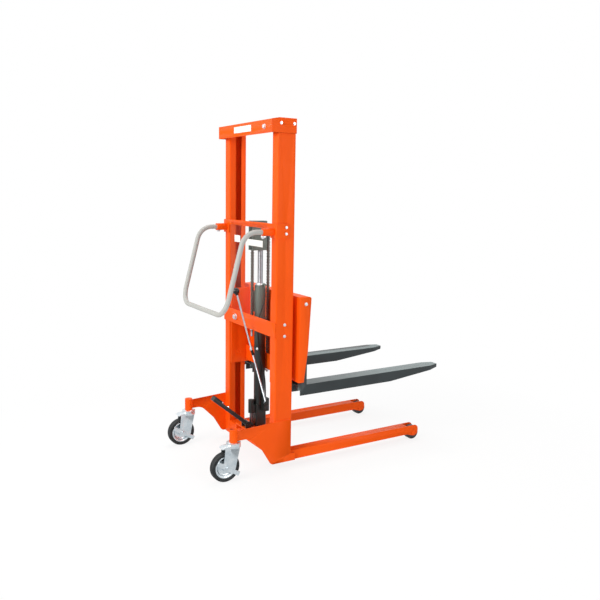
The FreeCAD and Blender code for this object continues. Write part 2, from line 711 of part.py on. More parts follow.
def caster_yoke(side):
    """The crown that turns on the kingpin, its hood, its two legs and the riveted wheel axle."""
    y = SIDES[side] * CASTER_Y
    yoke = bar_z(CASTER_X, y, CROWN_R, CROWN_Z, CROWN_TOP_Z)
    top_z = CROWN_Z + CROWN_HEIGHT / 2
    spread = math.sqrt(CROWN_R ** 2 - YOKE_OUTER ** 2)
    boss = YOKE_BOSS_R
    shoulder_x = CASTER_X - YOKE_SHOULDER
    hood = [(shoulder_x - YOKE_HOOD, CROWN_Z), (CASTER_X, CROWN_Z), (CASTER_X, top_z), (shoulder_x, top_z)]
    yoke = yoke.fuse(plate_xz(hood, y - YOKE_OUTER, y + YOKE_OUTER))
    outline = [(shoulder_x, top_z), (CASTER_X + spread, top_z)]
    foot_z = WHEEL_R - boss
    outline += [(CASTER_X, foot_z, YOKE_CORNER), (WHEEL_X - boss, foot_z, boss)]
    for sign in SIDES.values():
        near, far = sorted((y + sign * YOKE_INNER, y + sign * YOKE_OUTER))
        yoke = yoke.fuse(plate_xz(outline, near, far))
    axle_end = y - BRAKE_OUTER - AXLE_HEAD + CLEARANCE
    yoke = yoke.fuse(bar_y(WHEEL_X, WHEEL_R, CASTER_AXLE_R, axle_end, y + YOKE_OUTER + AXLE_HEAD))
    yoke = yoke.fuse(bar_y(WHEEL_X, WHEEL_R, boss / 2, axle_end, y - BRAKE_OUTER - CLEARANCE))
    yoke = yoke.removeSplitter()
    return yoke.cut(bar_z(CASTER_X, y, KINGPIN_R + RUNNING_FIT, WHEEL_R, CASTER_TUBE_Z))


def caster_rim(side):
    """A pressed steel disc with a hub and a rim."""
    y = SIDES[side] * CASTER_Y
    hub_half = YOKE_INNER - YOKE_GAP / 4
    ring_half = WHEEL_WIDTH / 2 - RIM_FLANGE / 2
    ring = bar_y(WHEEL_X, WHEEL_R, RIM_R, y - ring_half, y + ring_half)
    ring = ring.cut(bar_y(WHEEL_X, WHEEL_R, RIM_R - RIM_FLANGE, y - WHEEL_WIDTH, y + WHEEL_WIDTH))
    rim = ring.fuse(bar_y(WHEEL_X, WHEEL_R, RIM_R - RIM_FLANGE / 2, y - RIM_WEB / 2, y + RIM_WEB / 2))
    rim = rim.fuse(bar_y(WHEEL_X, WHEEL_R, HUB_R, y - hub_half, y + hub_half)).removeSplitter()
    bore = CASTER_AXLE_R + RUNNING_FIT
    return rim.cut(bar_y(WHEEL_X, WHEEL_R, bore, y - WHEEL_WIDTH, y + WHEEL_WIDTH))


def caster_tyre(side):
    """The rubber ring on the rim."""
    y = SIDES[side] * CASTER_Y
    half = WHEEL_WIDTH / 2
    tyre = bar_y(WHEEL_X, WHEEL_R, WHEEL_R, y - half, y + half)
    tyre = tyre.makeFillet(RIM_FLANGE, [edge for edge in tyre.Edges if edge.Closed])
    return tyre.cut(bar_y(WHEEL_X, WHEEL_R, RIM_R + SEAT_FIT, y - WHEEL_WIDTH, y + WHEEL_WIDTH))


def caster_brake(side):
    """A foot lever on the axle, outside the yoke, with a shoe bent over the tread."""
    y = SIDES[side] * CASTER_Y
    low = WHEEL_R - BRAKE_WIDTH / 2
    high = WHEEL_R + BRAKE_WIDTH / 2
    tail_x = WHEEL_X - BRAKE_TAIL
    shoe_x = WHEEL_X + BRAKE_SHOE_R
    lever = box(tail_x, shoe_x, y - BRAKE_OUTER, y - BRAKE_INNER, low, high)
    lever = lever.fuse(box(shoe_x - BRAKE_SHEET, shoe_x, y - BRAKE_OUTER, y - BRAKE_INNER / 2, low, high))
    lever = lever.removeSplitter()
    lever = lever.cut(bar_y(WHEEL_X, WHEEL_R, CASTER_AXLE_R + RUNNING_FIT, y - WHEEL_WIDTH, y))
    lever.rotate(V(WHEEL_X, y, WHEEL_R), V(0, 1, 0), BRAKE_SLOPE)
    return lever


def cylinder_tube():
    """The ram's tube, closed at the foot, with a rib that keeps the slack chain off it."""
    tube = bar_z(RAM_X, 0, CYLINDER_R, PUMP_TOP_Z, CYLINDER_TOP_Z)
    rib_x = CHAIN_REAR_X + CHAIN_PLATE_HEIGHT / 2 + RIB_GAP
    rib_z = MID_BAR_TOP_Z + RIB_LIFT
    tube = tube.fuse(box(rib_x, RAM_X, -RIB_HALF, RIB_HALF, rib_z, rib_z + RIB_HEIGHT)).removeSplitter()
    return tube.cut(bar_z(RAM_X, 0, CYLINDER_BORE_R, PUMP_TOP_Z + CYLINDER_FLOOR, CYLINDER_TOP_Z + MARGIN))


def cylinder_gland():
    """The head that guides the rod, with the elbow of the drain hose."""
    elbow_z = CYLINDER_TOP_Z + GLAND_FLANGE / 2
    flange_top = CYLINDER_TOP_Z + GLAND_FLANGE
    hose = HOSE_ROUTE[0]
    gland = bar_z(RAM_X, 0, CYLINDER_BORE_R - SEAT_FIT, CYLINDER_TOP_Z - GLAND_DEPTH, CYLINDER_TOP_Z)
    gland = gland.fuse(bar_z(RAM_X, 0, GLAND_R, CYLINDER_TOP_Z, flange_top))
    gland = gland.fuse(bar_y(hose.x, elbow_z, FITTING_R, hose.y - FITTING_R - AXLE_HEAD, 0))
    gland = gland.fuse(bar_z(hose.x, hose.y, FERRULE_R, hose.z, elbow_z))
    bore = bar_z(RAM_X, 0, ROD_R + RUNNING_FIT, CYLINDER_TOP_Z - 2 * GLAND_DEPTH, flange_top + MARGIN)
    return gland.removeSplitter().cut(bore)


def cylinder_clamp():
    """A strap round the cylinder, welded to the mid crossbar."""
    inner = CYLINDER_R + SEAT_FIT
    outer = inner + CLAMP_WALL
    low = MID_BAR_Z + (MID_BAR_HEIGHT - CLAMP_HEIGHT) / 2
    high = low + CLAMP_HEIGHT
    strap = bar_z(RAM_X, 0, outer, low, high)
    for sign in SIDES.values():
        near, far = sorted((sign * inner, sign * outer))
        strap = strap.fuse(box(0, RAM_X, near, far, low, high))
    return strap.removeSplitter().cut(bar_z(RAM_X, 0, inner, low - MARGIN, high + MARGIN))


def drain_hose():
    """Oil that passes the gland runs back to the pump; each bend is as large as its runs allow."""
    radii = [0]
    for before, point, after in zip(HOSE_ROUTE, HOSE_ROUTE[1:], HOSE_ROUTE[2:]):
        turn = (point - before).getAngle(after - point)
        shorter = min((point - before).Length, (after - point).Length)
        radii.append(HOSE_SHARE * shorter / math.tan(turn / 2))
    radii.append(0)
    edges = rounded_edges(HOSE_ROUTE, radii)
    hose = tube_along(edges, HOSE_R)
    expected = math.pi * HOSE_R ** 2 * sum(edge.Length for edge in edges)
    print("hose bend radii", [round(radius) for radius in radii])
    print("hose volume share", round(hose.Volume / expected, 4))
    return hose


def pump_block():
    """The cast pump body and oil tank under the cylinder."""
    block = box(PUMP_REAR_X, PUMP_REAR_X + PUMP_DEPTH, -PUMP_HALF, PUMP_HALF, PUMP_SEAT_Z, PUMP_TOP_Z)
    upright = [edge for edge in block.Edges if edge.tangentAt(edge.FirstParameter).cross(UP).Length < 0.1]
    return block.makeFillet(PUMP_CORNER, upright)


def pump_barrel():
    """The pump's own cylinder behind the block; the plunger enters it from below."""
    top = BARREL_Z + BARREL_LENGTH
    barrel = bar_z(BARREL_X, 0, BARREL_R, BARREL_Z, top)
    neck = box(BARREL_X, PUMP_REAR_X, -BARREL_R, BARREL_R, BARREL_Z, PUMP_TOP_Z)
    barrel = barrel.fuse(neck).removeSplitter()
    return barrel.cut(bar_z(BARREL_X, 0, PLUNGER_R + RUNNING_FIT, BARREL_Z - MARGIN, top - BARREL_CAP))


def pump_plunger():
    """The plunger that stands on the pedal's nose."""
    return bar_z(BARREL_X, 0, PLUNGER_R, PLUNGER_Z, PLUNGER_Z + PLUNGER_LENGTH)


def pedal_arm():
    """The pedal's bar with its hub, and the nose that lifts the plunger."""
    thick = PEDAL_BAR / 2
    half = PEDAL_NECK / 2
    arm = box(PEDAL_X - PEDAL_LENGTH, PEDAL_X, -PEDAL_HALF, PEDAL_HALF, PEDAL_Z - thick, PEDAL_Z + thick)
    arm.rotate(V(PEDAL_X, 0, PEDAL_Z), V(0, 1, 0), PEDAL_RISE)
    arm = arm.fuse(bar_y(PEDAL_X, PEDAL_Z, PEDAL_HUB_R, -PEDAL_HALF, PEDAL_HALF))
    neck = box(PEDAL_X, PEDAL_X + PEDAL_NOSE_REACH, -PEDAL_HALF, PEDAL_HALF, PEDAL_Z - half, PEDAL_Z + half)
    neck.rotate(V(PEDAL_X, 0, PEDAL_Z), V(0, 1, 0), PEDAL_NOSE_DROP)
    arm = arm.fuse(neck).fuse(bar_y(NOSE_X, NOSE_Z, PEDAL_NOSE_R, -PEDAL_HALF, PEDAL_HALF))
    pin_hole = bar_y(PEDAL_X, PEDAL_Z, PEDAL_PIN_R + RUNNING_FIT, -EAR_OUTER, EAR_OUTER)
    return arm.removeSplitter().cut(pin_hole)


def pedal_pad():
    """A rubber tread on the far end of the pedal."""
    end = PEDAL_X - PEDAL_LENGTH
    low = PEDAL_Z + PEDAL_BAR / 2
    pad = box(end, end + PAD_LENGTH, -PAD_HALF, PAD_HALF, low, low + PAD_THICKNESS)
    pad.rotate(V(PEDAL_X, 0, PEDAL_Z), V(0, 1, 0), PEDAL_RISE)
    return pad


def release_valve():
    """The lowering valve on the pump's right side, with the pin that the release rod turns on."""
    front = PUMP_REAR_X + PUMP_DEPTH
    top = VALVE_Z + VALVE_HEIGHT
    valve = box(front - VALVE_DEPTH, front, -VALVE_OUTER, -PUMP_HALF, VALVE_Z, top)
    valve = valve.cut(bar_z(RAM_X, 0, CYLINDER_R + CLEARANCE, PUMP_TOP_Z, top + MARGIN))
    pin_end = RELEASE_Y - RELEASE_EYE / 2 - AXLE_HEAD
    return valve.fuse(bar_y(RELEASE_X, RELEASE_Z, RELEASE_PIN_R, pin_end, -VALVE_OUTER)).removeSplitter()


def release_axis():
    """The foot and the head of the release rod's middle line."""
    return V(RELEASE_X, RELEASE_Y, RELEASE_Z), V(KNOB_X, RELEASE_Y, KNOB_Z)


def release_rod():
    """The rod that opens the valve, with an eye on the valve's pin."""
    foot, head = release_axis()
    half = RELEASE_EYE / 2
    rod = between(foot, head, RELEASE_ROD_R)
    eye = bar_y(RELEASE_X, RELEASE_Z, RELEASE_EYE_R, RELEASE_Y - half, RELEASE_Y + half)
    rod = rod.fuse(eye).removeSplitter()
    return rod.cut(bar_y(RELEASE_X, RELEASE_Z, RELEASE_PIN_R + RUNNING_FIT, RELEASE_Y - VALVE_WIDTH, 0))


def release_knob():
    """A ball knob on the end of the rod."""
    foot, head = release_axis()
    return Part.makeSphere(KNOB_R, head).cut(between(foot, head, RELEASE_ROD_R + SEAT_FIT))


def chain_anchor(x, z, length, seat_z):
    """A threaded eye bolt that holds an end of the chain, with its nut under the seat."""
    eye_z = z + length - ANCHOR_EYE
    half = CHAIN_PLATE_HEIGHT / 2
    anchor = bar_z(x, 0, ANCHOR_BOLT_R, z, eye_z)
    anchor = anchor.fuse(box(x - half, x + half, -CHAIN_HALF, CHAIN_HALF, eye_z, z + length))
    nut = hexagon(V(x, 0, seat_z), V(0, 0, -1), ANCHOR_NUT_FLATS, ANCHOR_NUT)
    return anchor.fuse(nut).removeSplitter()


def chain_run(x, low, pins_high):
    """A straight run of chain: two rows of side plates held apart by its rollers."""
    inner = SPROCKET_HALF + CHAIN_SIDE_GAP
    half = CHAIN_PLATE_HEIGHT / 2
    run = box(x - half, x + half, inner, CHAIN_HALF, low, SPROCKET_Z)
    run = run.fuse(box(x - half, x + half, -CHAIN_HALF, -inner, low, SPROCKET_Z))
    z = low + CHAIN_PITCH / 2
    rollers = []
    while z < pins_high:
        rollers.append(bar_y(x, z, CHAIN_ROLLER_R, -inner, inner))
        z += CHAIN_PITCH
    return run.multiFuse(rollers).removeSplitter()


def chain_wrap():
    """The side plates of the chain over the top of the sprocket."""
    inner = SPROCKET_HALF + CHAIN_SIDE_GAP
    half = CHAIN_PLATE_HEIGHT / 2
    reach = SPROCKET_R + half
    side = reach + MARGIN
    lower = box(RAM_X - side, RAM_X + side, -side, side, SPROCKET_Z - side, SPROCKET_Z)
    solids = []
    for start in (inner, -CHAIN_HALF):
        ring = bar_y(RAM_X, SPROCKET_Z, reach, start, start + CHAIN_PLATE)
        ring = ring.cut(bar_y(RAM_X, SPROCKET_Z, SPROCKET_R - half, -side, side))
        solids.append(ring.cut(lower))
    return solids


def chain_sprocket():
    """A toothed wheel: a disc with a roller seat between each pair of teeth, and a long hub."""
    hub_half = CROSSHEAD_GAP - CLEARANCE
    wheel = bar_y(RAM_X, SPROCKET_Z, SPROCKET_R + TOOTH_RISE, -SPROCKET_HALF, SPROCKET_HALF)
    seats = []
    for tooth in range(SPROCKET_TEETH):
        turn = 2 * math.pi * tooth / SPROCKET_TEETH
        x = RAM_X + SPROCKET_R * math.cos(turn)
        z = SPROCKET_Z + SPROCKET_R * math.sin(turn)
        seats.append(bar_y(x, z, CHAIN_ROLLER_R, -CHAIN_HALF, CHAIN_HALF))
    wheel = wheel.cut(Part.makeCompound(seats))
    wheel = wheel.fuse(bar_y(RAM_X, SPROCKET_Z, SPROCKET_HUB_R, -hub_half, hub_half)).removeSplitter()
    return wheel.cut(bar_y(RAM_X, SPROCKET_Z, SPROCKET_AXLE_R + RUNNING_FIT, -2 * hub_half, 2 * hub_half))


def sprocket_axle():
    """The axle through the crosshead, headed at both ends."""
    end = CROSSHEAD_GAP + CROSSHEAD_PLATE
    axle = bar_y(RAM_X, SPROCKET_Z, SPROCKET_AXLE_R, -end, end)
    for start in (end, -end - AXLE_HEAD):
        axle = axle.fuse(bar_y(RAM_X, SPROCKET_Z, SPROCKET_AXLE_HEAD_R, start, start + AXLE_HEAD))
    return axle.removeSplitter()


def crosshead():
    """Two plates on top of the rod that carry the sprocket's axle."""
    top = CROSSHEAD_Z + CROSSHEAD_HEIGHT
    gap = CROSSHEAD_GAP
    half = gap + CROSSHEAD_PLATE
    front = CROSSHEAD_FRONT_X
    head = box(CROSSHEAD_REAR_X, front, gap, half, CROSSHEAD_Z, top)
    head = head.fuse(mirrored(head, "right"))
    head = head.fuse(box(RAM_X - CYLINDER_R, front, -gap, gap, CROSSHEAD_Z, CROSSHEAD_Z + CROSSHEAD_BLOCK))
    head = head.fuse(box(CROSSHEAD_REAR_X, front, -gap, gap, top - CROSSHEAD_BLOCK, top)).removeSplitter()
    return head.cut(bar_y(RAM_X, SPROCKET_Z, SPROCKET_AXLE_R + SEAT_FIT, -half - MARGIN, half + MARGIN))


def piston_rod():
    """The chromed rod and its piston."""
    rod = bar_z(RAM_X, 0, ROD_R, PISTON_Z, CROSSHEAD_Z)
    piston_r = CYLINDER_BORE_R - RUNNING_FIT
    return rod.fuse(bar_z(RAM_X, 0, piston_r, PISTON_Z, PISTON_Z + PISTON_HEIGHT)).removeSplitter()


def guide_axles():
    """Four axles from the carriage's plates into the posts, each with an end washer."""
    solids = []
    washer = GUIDE_ROLLER_Y + GUIDE_ROLLER_WIDTH + CLEARANCE
    for side in SIDES:
        for z in (GUIDE_LOW_Z, GUIDE_HIGH_Z):
            axle = bar_y(POST_MID_X, z, GUIDE_AXLE_R, CARRIAGE_INNER, washer + AXLE_HEAD)
            head_r = GUIDE_AXLE_R + MARGIN
            axle = axle.fuse(bar_y(POST_MID_X, z, head_r, washer, washer + AXLE_HEAD))
            solids.append(mirrored(axle.removeSplitter(), side))
    return solids


def guide_roller(side, z):
    """A roller that runs inside a post."""
    end = GUIDE_ROLLER_Y + GUIDE_ROLLER_WIDTH
    roller = bar_y(POST_MID_X, z, GUIDE_ROLLER_R, GUIDE_ROLLER_Y, end)
    roller = roller.makeChamfer(AXLE_HEAD, [edge for edge in roller.Edges if edge.Closed])
    return mirrored(roller.cut(bar_y(POST_MID_X, z, GUIDE_AXLE_R + RUNNING_FIT, 0, MAST_HALF)), side)


def carriage_plate(side):
    """A plate beside each post that carries the guide axles."""
    top = CARRIAGE_Z + CARRIAGE_HEIGHT
    plate = box(CARRIAGE_REAR_X, WEB_X, CARRIAGE_INNER, CARRIAGE_OUTER, CARRIAGE_Z, top)
    for z in (GUIDE_LOW_Z, GUIDE_HIGH_Z):
        plate = plate.cut(bar_y(POST_MID_X, z, GUIDE_AXLE_R + SEAT_FIT, 0, MAST_HALF))
    return mirrored(plate, side)


def carriage_beam():
    """The web in front of the posts, its top flange and the tapered end plates."""
    half = END_PLATE_INNER
    front = WEB_X + WEB_PLATE
    beam = box(WEB_X, front, -half, half, CARRIAGE_Z, WEB_TOP_Z)
    flange_front = END_PLATE_TOP_X - END_PLATE_CORNER
    beam = beam.fuse(box(WEB_X, flange_front, -half, half, WEB_TOP_Z - BEAM_FLANGE, WEB_TOP_Z))
    outline = [(WEB_X, CARRIAGE_Z), (WEB_X, WEB_TOP_Z), (END_PLATE_TOP_X, WEB_TOP_Z, END_PLATE_CORNER)]
    outline += [(END_PLATE_WAIST_X, END_PLATE_WAIST_Z), (END_PLATE_FOOT_X, CARRIAGE_Z)]
    end_plate = plate_xz(outline, half, CARRIAGE_HALF)
    for side in SIDES:
        beam = beam.fuse(mirrored(end_plate, side))
    return beam.removeSplitter()


def carriage_cross_plate():
    """The lower plate between the carriage's sides, with the shelf that the chain lifts."""
    low = CARRIAGE_Z + SHELF_PLATE
    front = CROSS_PLATE_X + CROSS_PLATE
    plate = box(CROSS_PLATE_X, front, -CARRIAGE_INNER, CARRIAGE_INNER, low, low + CROSS_PLATE_HEIGHT)
    plate = plate.fuse(box(front, WEB_X, -SHELF_HALF, SHELF_HALF, low, low + SHELF_PLATE)).removeSplitter()
    return plate.cut(bar_z(CHAIN_FRONT_X, 0, ANCHOR_BOLT_R + CLEARANCE, CARRIAGE_Z, WEB_TOP_Z))


def fork_shaft():
    """The shaft between the end plates that both forks hang on."""
    return bar_y(SHAFT_X, SHAFT_Z, SHAFT_R, -END_PLATE_INNER, END_PLATE_INNER)


def fork_plan(inset, heel):
    """The blade's outline from above: straight sides that draw in to the tip."""
    middle = FORK_INNER + FORK_WIDTH / 2
    tip = FORK_TIP_X - inset
    tip_half = FORK_TIP_WIDTH / 2 - inset
    inner = FORK_INNER + inset
    outer = FORK_OUTER - inset
    plan = [(heel, inner), (FORK_NARROW_X, inner), (tip, middle - tip_half)]
    return plan + [(tip, middle + tip_half), (FORK_NARROW_X, outer), (heel, outer)]


def fork(side):
    """A folded blade, open below and at the heel to drop over the leg, and its shank on the shaft."""
    bottom = FORK_TOP_Z - FORK_HEIGHT
    wall = FORK_WALL
    heel_z = FORK_TOP_Z - HEEL_DEPTH
    step_x = FORK_HEEL_X + HEEL_STEP
    profile = [(FORK_HEEL_X, heel_z), (step_x, heel_z), (step_x, bottom)]
    profile += [(FORK_TAPER_X, bottom), (FORK_TIP_X, FORK_TOP_Z - FORK_TIP_HEIGHT)]
    profile += [(FORK_TIP_X, FORK_TOP_Z), (FORK_HEEL_X, FORK_TOP_Z)]
    blade = plate_xz(profile, FORK_INNER, FORK_OUTER)
    blade = blade.common(plate_xy(fork_plan(0, FORK_HEEL_X), bottom, FORK_TOP_Z))
    hollow = plate_xy(fork_plan(wall, FORK_HEEL_X - MARGIN), bottom - MARGIN, FORK_TOP_Z - wall)
    blade = blade.cut(hollow)
    rear = WEB_X + WEB_PLATE + SHANK_CLEARANCE
    heel = box(FORK_HEEL_X, rear, FORK_OUTER - HEEL_FLANGE, FORK_OUTER - wall, heel_z, FORK_TOP_Z - wall)
    web = box(SHANK_FRONT_X - wall, SHANK_FRONT_X, FORK_INNER, FORK_OUTER, FORK_TOP_Z - wall, SHAFT_Z)
    pieces = [heel, web, bar_y(SHAFT_X, SHAFT_Z, SLEEVE_R, FORK_INNER, FORK_OUTER)]
    for start in (FORK_INNER, FORK_OUTER - wall):
        pieces.append(box(rear, SHANK_FRONT_X, start, start + wall, FORK_TOP_Z - wall, SHAFT_Z))
        pieces.append(bar_y(SHAFT_X, SHAFT_Z, SHANK_EYE_R, start, start + wall))
    whole = blade.multiFuse(pieces).removeSplitter()
    return mirrored(whole.cut(bar_y(SHAFT_X, SHAFT_Z, SHAFT_R + RUNNING_FIT, 0, CARRIAGE_HALF)), side)


def main():
    """Builds and writes every piece."""
    os.makedirs("parts", exist_ok=True)
    save("mast_top_bar", mast_top_bar())
    save("frame_bolts", *frame_bolts())
    save("handle_crossbar", handle_crossbar())
    save("handle_sockets", *handle_sockets())
    save("push_handle", push_handle())
    save("mid_crossbar", mid_crossbar())
    save("guard_panel", guard_panel())
    save("base_crossbeam", base_crossbeam())
    save("pedal_bracket", *pedal_bracket())
    save("pedal_pin", pedal_pin())
    for side in SIDES:
        save("mast_post_" + side, mast_post(side))
        save("side_plate_" + side, side_plate(side))
        save("leg_" + side, leg(side))
        save("load_roller_" + side, load_roller(side))
        save("caster_yoke_" + side, caster_yoke(side))
        save("caster_rim_" + side, caster_rim(side))
        save("caster_tyre_" + side, caster_tyre(side))
        save("caster_brake_" + side, caster_brake(side))
        save("guide_roller_lower_" + side, guide_roller(side, GUIDE_LOW_Z))
        save("guide_roller_upper_" + side, guide_roller(side, GUIDE_HIGH_Z))
        save("fork_" + side, fork(side))
    save("roller_axles", *[roller_axle(side) for side in SIDES])
    save("caster_stems", *[caster_stem(side) for side in SIDES])
    save("cylinder_tube", cylinder_tube())
    save("cylinder_gland", cylinder_gland())
    save("cylinder_clamp", cylinder_clamp())
    save("drain_hose", drain_hose())
    save("pump_block", pump_block())
    save("pump_barrel", pump_barrel())
    save("pump_plunger", pump_plunger())
    save("pedal_arm", pedal_arm())
    save("pedal_pad", pedal_pad())
    save("release_valve", release_valve())
    save("release_rod", release_rod())
    save("release_knob", release_knob())
    save("chain_anchor_bolt", chain_anchor(CHAIN_REAR_X, REAR_ANCHOR_Z, REAR_ANCHOR_LENGTH, MID_BAR_Z))
    teeth_low = SPROCKET_Z - SPROCKET_R
    save("lift_chain_rear", chain_run(CHAIN_REAR_X, REAR_ANCHOR_Z + REAR_ANCHOR_LENGTH, teeth_low))
    save("lift_chain_front", chain_run(CHAIN_FRONT_X, FRONT_ANCHOR_Z + FRONT_ANCHOR_LENGTH, teeth_low))
    save("chain_wrap", *chain_wrap())
    save("chain_sprocket", chain_sprocket())
    save("sprocket_axle", sprocket_axle())
    save("crosshead", crosshead())
    save("piston_rod", piston_rod())
    save("guide_axles", *guide_axles())
    save("carriage_side_plates", *[carriage_plate(side) for side in SIDES])
    save("carriage_beam", carriage_beam())
    save("carriage_cross_plate", carriage_cross_plate())
    shelf_z = CARRIAGE_Z + SHELF_PLATE
    save("carriage_chain_anchor", chain_anchor(CHAIN_FRONT_X, FRONT_ANCHOR_Z, FRONT_ANCHOR_LENGTH, shelf_z))
    save("fork_shaft", fork_shaft())


main()
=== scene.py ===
"""The looks of a hand pallet stacker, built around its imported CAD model, in metres."""
import json
import math

import bmesh
import bpy
from mathutils import Matrix, Vector


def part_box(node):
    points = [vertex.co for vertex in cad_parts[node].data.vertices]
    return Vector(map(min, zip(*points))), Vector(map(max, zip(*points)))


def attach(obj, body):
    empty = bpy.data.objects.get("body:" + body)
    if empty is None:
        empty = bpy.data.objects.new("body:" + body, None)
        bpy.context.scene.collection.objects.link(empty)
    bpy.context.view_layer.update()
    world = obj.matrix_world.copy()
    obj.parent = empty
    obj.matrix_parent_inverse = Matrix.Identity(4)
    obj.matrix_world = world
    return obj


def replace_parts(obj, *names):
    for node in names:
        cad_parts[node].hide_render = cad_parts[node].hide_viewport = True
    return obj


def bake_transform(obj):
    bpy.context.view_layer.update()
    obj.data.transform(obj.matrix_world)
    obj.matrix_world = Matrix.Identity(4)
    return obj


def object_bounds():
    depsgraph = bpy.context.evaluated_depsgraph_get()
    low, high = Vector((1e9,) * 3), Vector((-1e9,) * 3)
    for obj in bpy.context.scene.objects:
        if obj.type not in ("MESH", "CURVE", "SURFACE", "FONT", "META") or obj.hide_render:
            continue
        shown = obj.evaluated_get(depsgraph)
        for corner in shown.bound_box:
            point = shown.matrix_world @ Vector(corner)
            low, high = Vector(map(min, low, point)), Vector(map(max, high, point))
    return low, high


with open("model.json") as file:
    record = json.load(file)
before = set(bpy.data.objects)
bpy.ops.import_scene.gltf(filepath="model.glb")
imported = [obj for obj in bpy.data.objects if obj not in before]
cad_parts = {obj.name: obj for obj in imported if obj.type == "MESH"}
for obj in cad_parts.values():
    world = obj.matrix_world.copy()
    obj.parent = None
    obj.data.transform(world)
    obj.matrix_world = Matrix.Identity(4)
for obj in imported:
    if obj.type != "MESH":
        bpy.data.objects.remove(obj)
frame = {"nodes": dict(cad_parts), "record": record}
CAD_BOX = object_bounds()

bl_info = {
    "name": "Hand pallet stacker",
    "version": (1, 0, 0),
    "blender": (4, 5, 0),
    "location": "3D View > Sidebar > Stacker",
    "description": "Finishes, chain, casters and fittings of a hand pallet stacker",
    "category": "Add Mesh",
}

MM = 0.001
SIDES = {"left": 1, "right": -1}
NODES = frame["nodes"]
BODY_OF = {node: body for body, nodes in frame["record"]["behaviour"]["bodies"].items() for node in nodes}
SLOT_OF = {part["node"]: part["material_slot"] for part in frame["record"]["subparts"]}
POST_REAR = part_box("mast_post_left")[0].x
X_AXIS = Vector((1, 0, 0))
Y_AXIS = Vector((0, 1, 0))
Z_AXIS = Vector((0, 0, 1))


class StackerColours(bpy.types.PropertyGroup):
    """Colours of the painted pieces, as sRGB hex values."""
    frame: bpy.props.StringProperty(name="Frame", description="Powder coat of the frame", default="#F95B0C")
    forks: bpy.props.StringProperty(name="Forks", description="Enamel of the forks", default="#2A3234")
    ram: bpy.props.StringProperty(name="Ram", description="Enamel of the ram and the pump", default="#1E2322")
    handle: bpy.props.StringProperty(
        name="Handle", description="Enamel of the push handle", default="#B4B5B2")
    plates: bpy.props.StringProperty(name="Plates", description="Bare plates on the mast", default="#EFEFEB")


class StackerSizes(bpy.types.PropertyGroup):
    """Sizes of the details that the looks add to the CAD model."""
    fold: bpy.props.FloatProperty(
        name="Fold radius", description="Rounding along the folds of sheet and tube",
        default=4.0 * MM, min=0.0, unit="LENGTH")
    cut: bpy.props.FloatProperty(
        name="Cut edge", description="Rounding of cut edges", default=0.9 * MM, min=0.0, unit="LENGTH")
    bead: bpy.props.FloatProperty(
        name="Weld bead", description="Half width of a weld bead", default=2.6 * MM, min=0.0, unit="LENGTH")
    chain_pitch: bpy.props.FloatProperty(
        name="Chain pitch", description="Distance between the chain's pins",
        default=15.875 * MM, min=1.0 * MM, unit="LENGTH")
    washer: bpy.props.FloatProperty(
        name="Washer", description="Radius of the washers under the bolts", default=11.5 * MM, min=0.0,
        unit="LENGTH")
    rib_gap: bpy.props.FloatProperty(
        name="Tread gap", description="Distance between the pedal's ribs", default=9.0 * MM, min=1.0 * MM,
        unit="LENGTH")


def sizes():
    return bpy.context.scene.stacker_sizes


def low(node):
    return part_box(node)[0]


def high(node):
    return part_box(node)[1]


def middle(node):
    return (low(node) + high(node)) / 2


def at(x, y, z):
    """A place in millimetres, with X from the rear face of the posts, in the part's own frame."""
    return Vector((POST_REAR + x * MM, y * MM, z * MM))


# Materials

def linear(hex_colour):
    """An sRGB hex colour as linear RGBA."""
    channels = [int(hex_colour[i:i + 2], 16) / 255 for i in (1, 3, 5)]
    curve = [c / 12.92 if c <= 0.04045 else ((c + 0.055) / 1.055) ** 2.4 for c in channels]
    return curve + [1.0]


def add(tree, kind, out=0, sockets=None, **settings):
    """Adds a node with its settings, sets or links its sockets, and returns one of its outputs."""
    node = tree.nodes.new(kind)
    for name, value in settings.items():
        setattr(node, name, value)
    for key, value in (sockets or {}).items():
        if isinstance(value, bpy.types.NodeSocket):
            tree.links.new(value, node.inputs[key])
        else:
            node.inputs[key].default_value = value
    return node.outputs[out] if len(node.outputs) else node


def new_tree(name):
    """An empty material and its node tree."""
    material = bpy.data.materials.new(name)
    material.use_nodes = True
    material.node_tree.nodes.clear()
    return material, material.node_tree


def closed(material, tree, sockets):
    """Ends a material in its shader and output."""
    shader = add(tree, "ShaderNodeBsdfPrincipled", 0, sockets)
    add(tree, "ShaderNodeOutputMaterial", 0, {"Surface": shader})
    return material


def patches(tree, size_mm, detail=4.0, stretch=(1, 1, 1)):
    """Uneven patches of about a size, the start of every finish's variation."""
    place = add(tree, "ShaderNodeTexCoord", "Object")
    spread = add(tree, "ShaderNodeMapping", 0, {"Vector": place, "Scale": stretch})
    scale = 1 / (size_mm * MM)
    return add(tree, "ShaderNodeTexNoise", 0, {"Vector": spread, "Scale": scale, "Detail": detail})


def near_edges(tree, radius_mm):
    """1 on sharp edges and 0 on flat faces, from how far rounding would turn the surface."""
    rounded = add(tree, "ShaderNodeBevel", 0, {"Radius": radius_mm * MM}, samples=4)
    true = add(tree, "ShaderNodeNewGeometry", "Normal")
    likeness = add(tree, "ShaderNodeVectorMath", "Value", {0: rounded, 1: true}, operation="DOT_PRODUCT")
    return add(tree, "ShaderNodeMapRange", 0, {0: likeness, 1: 0.995, 2: 0.85})


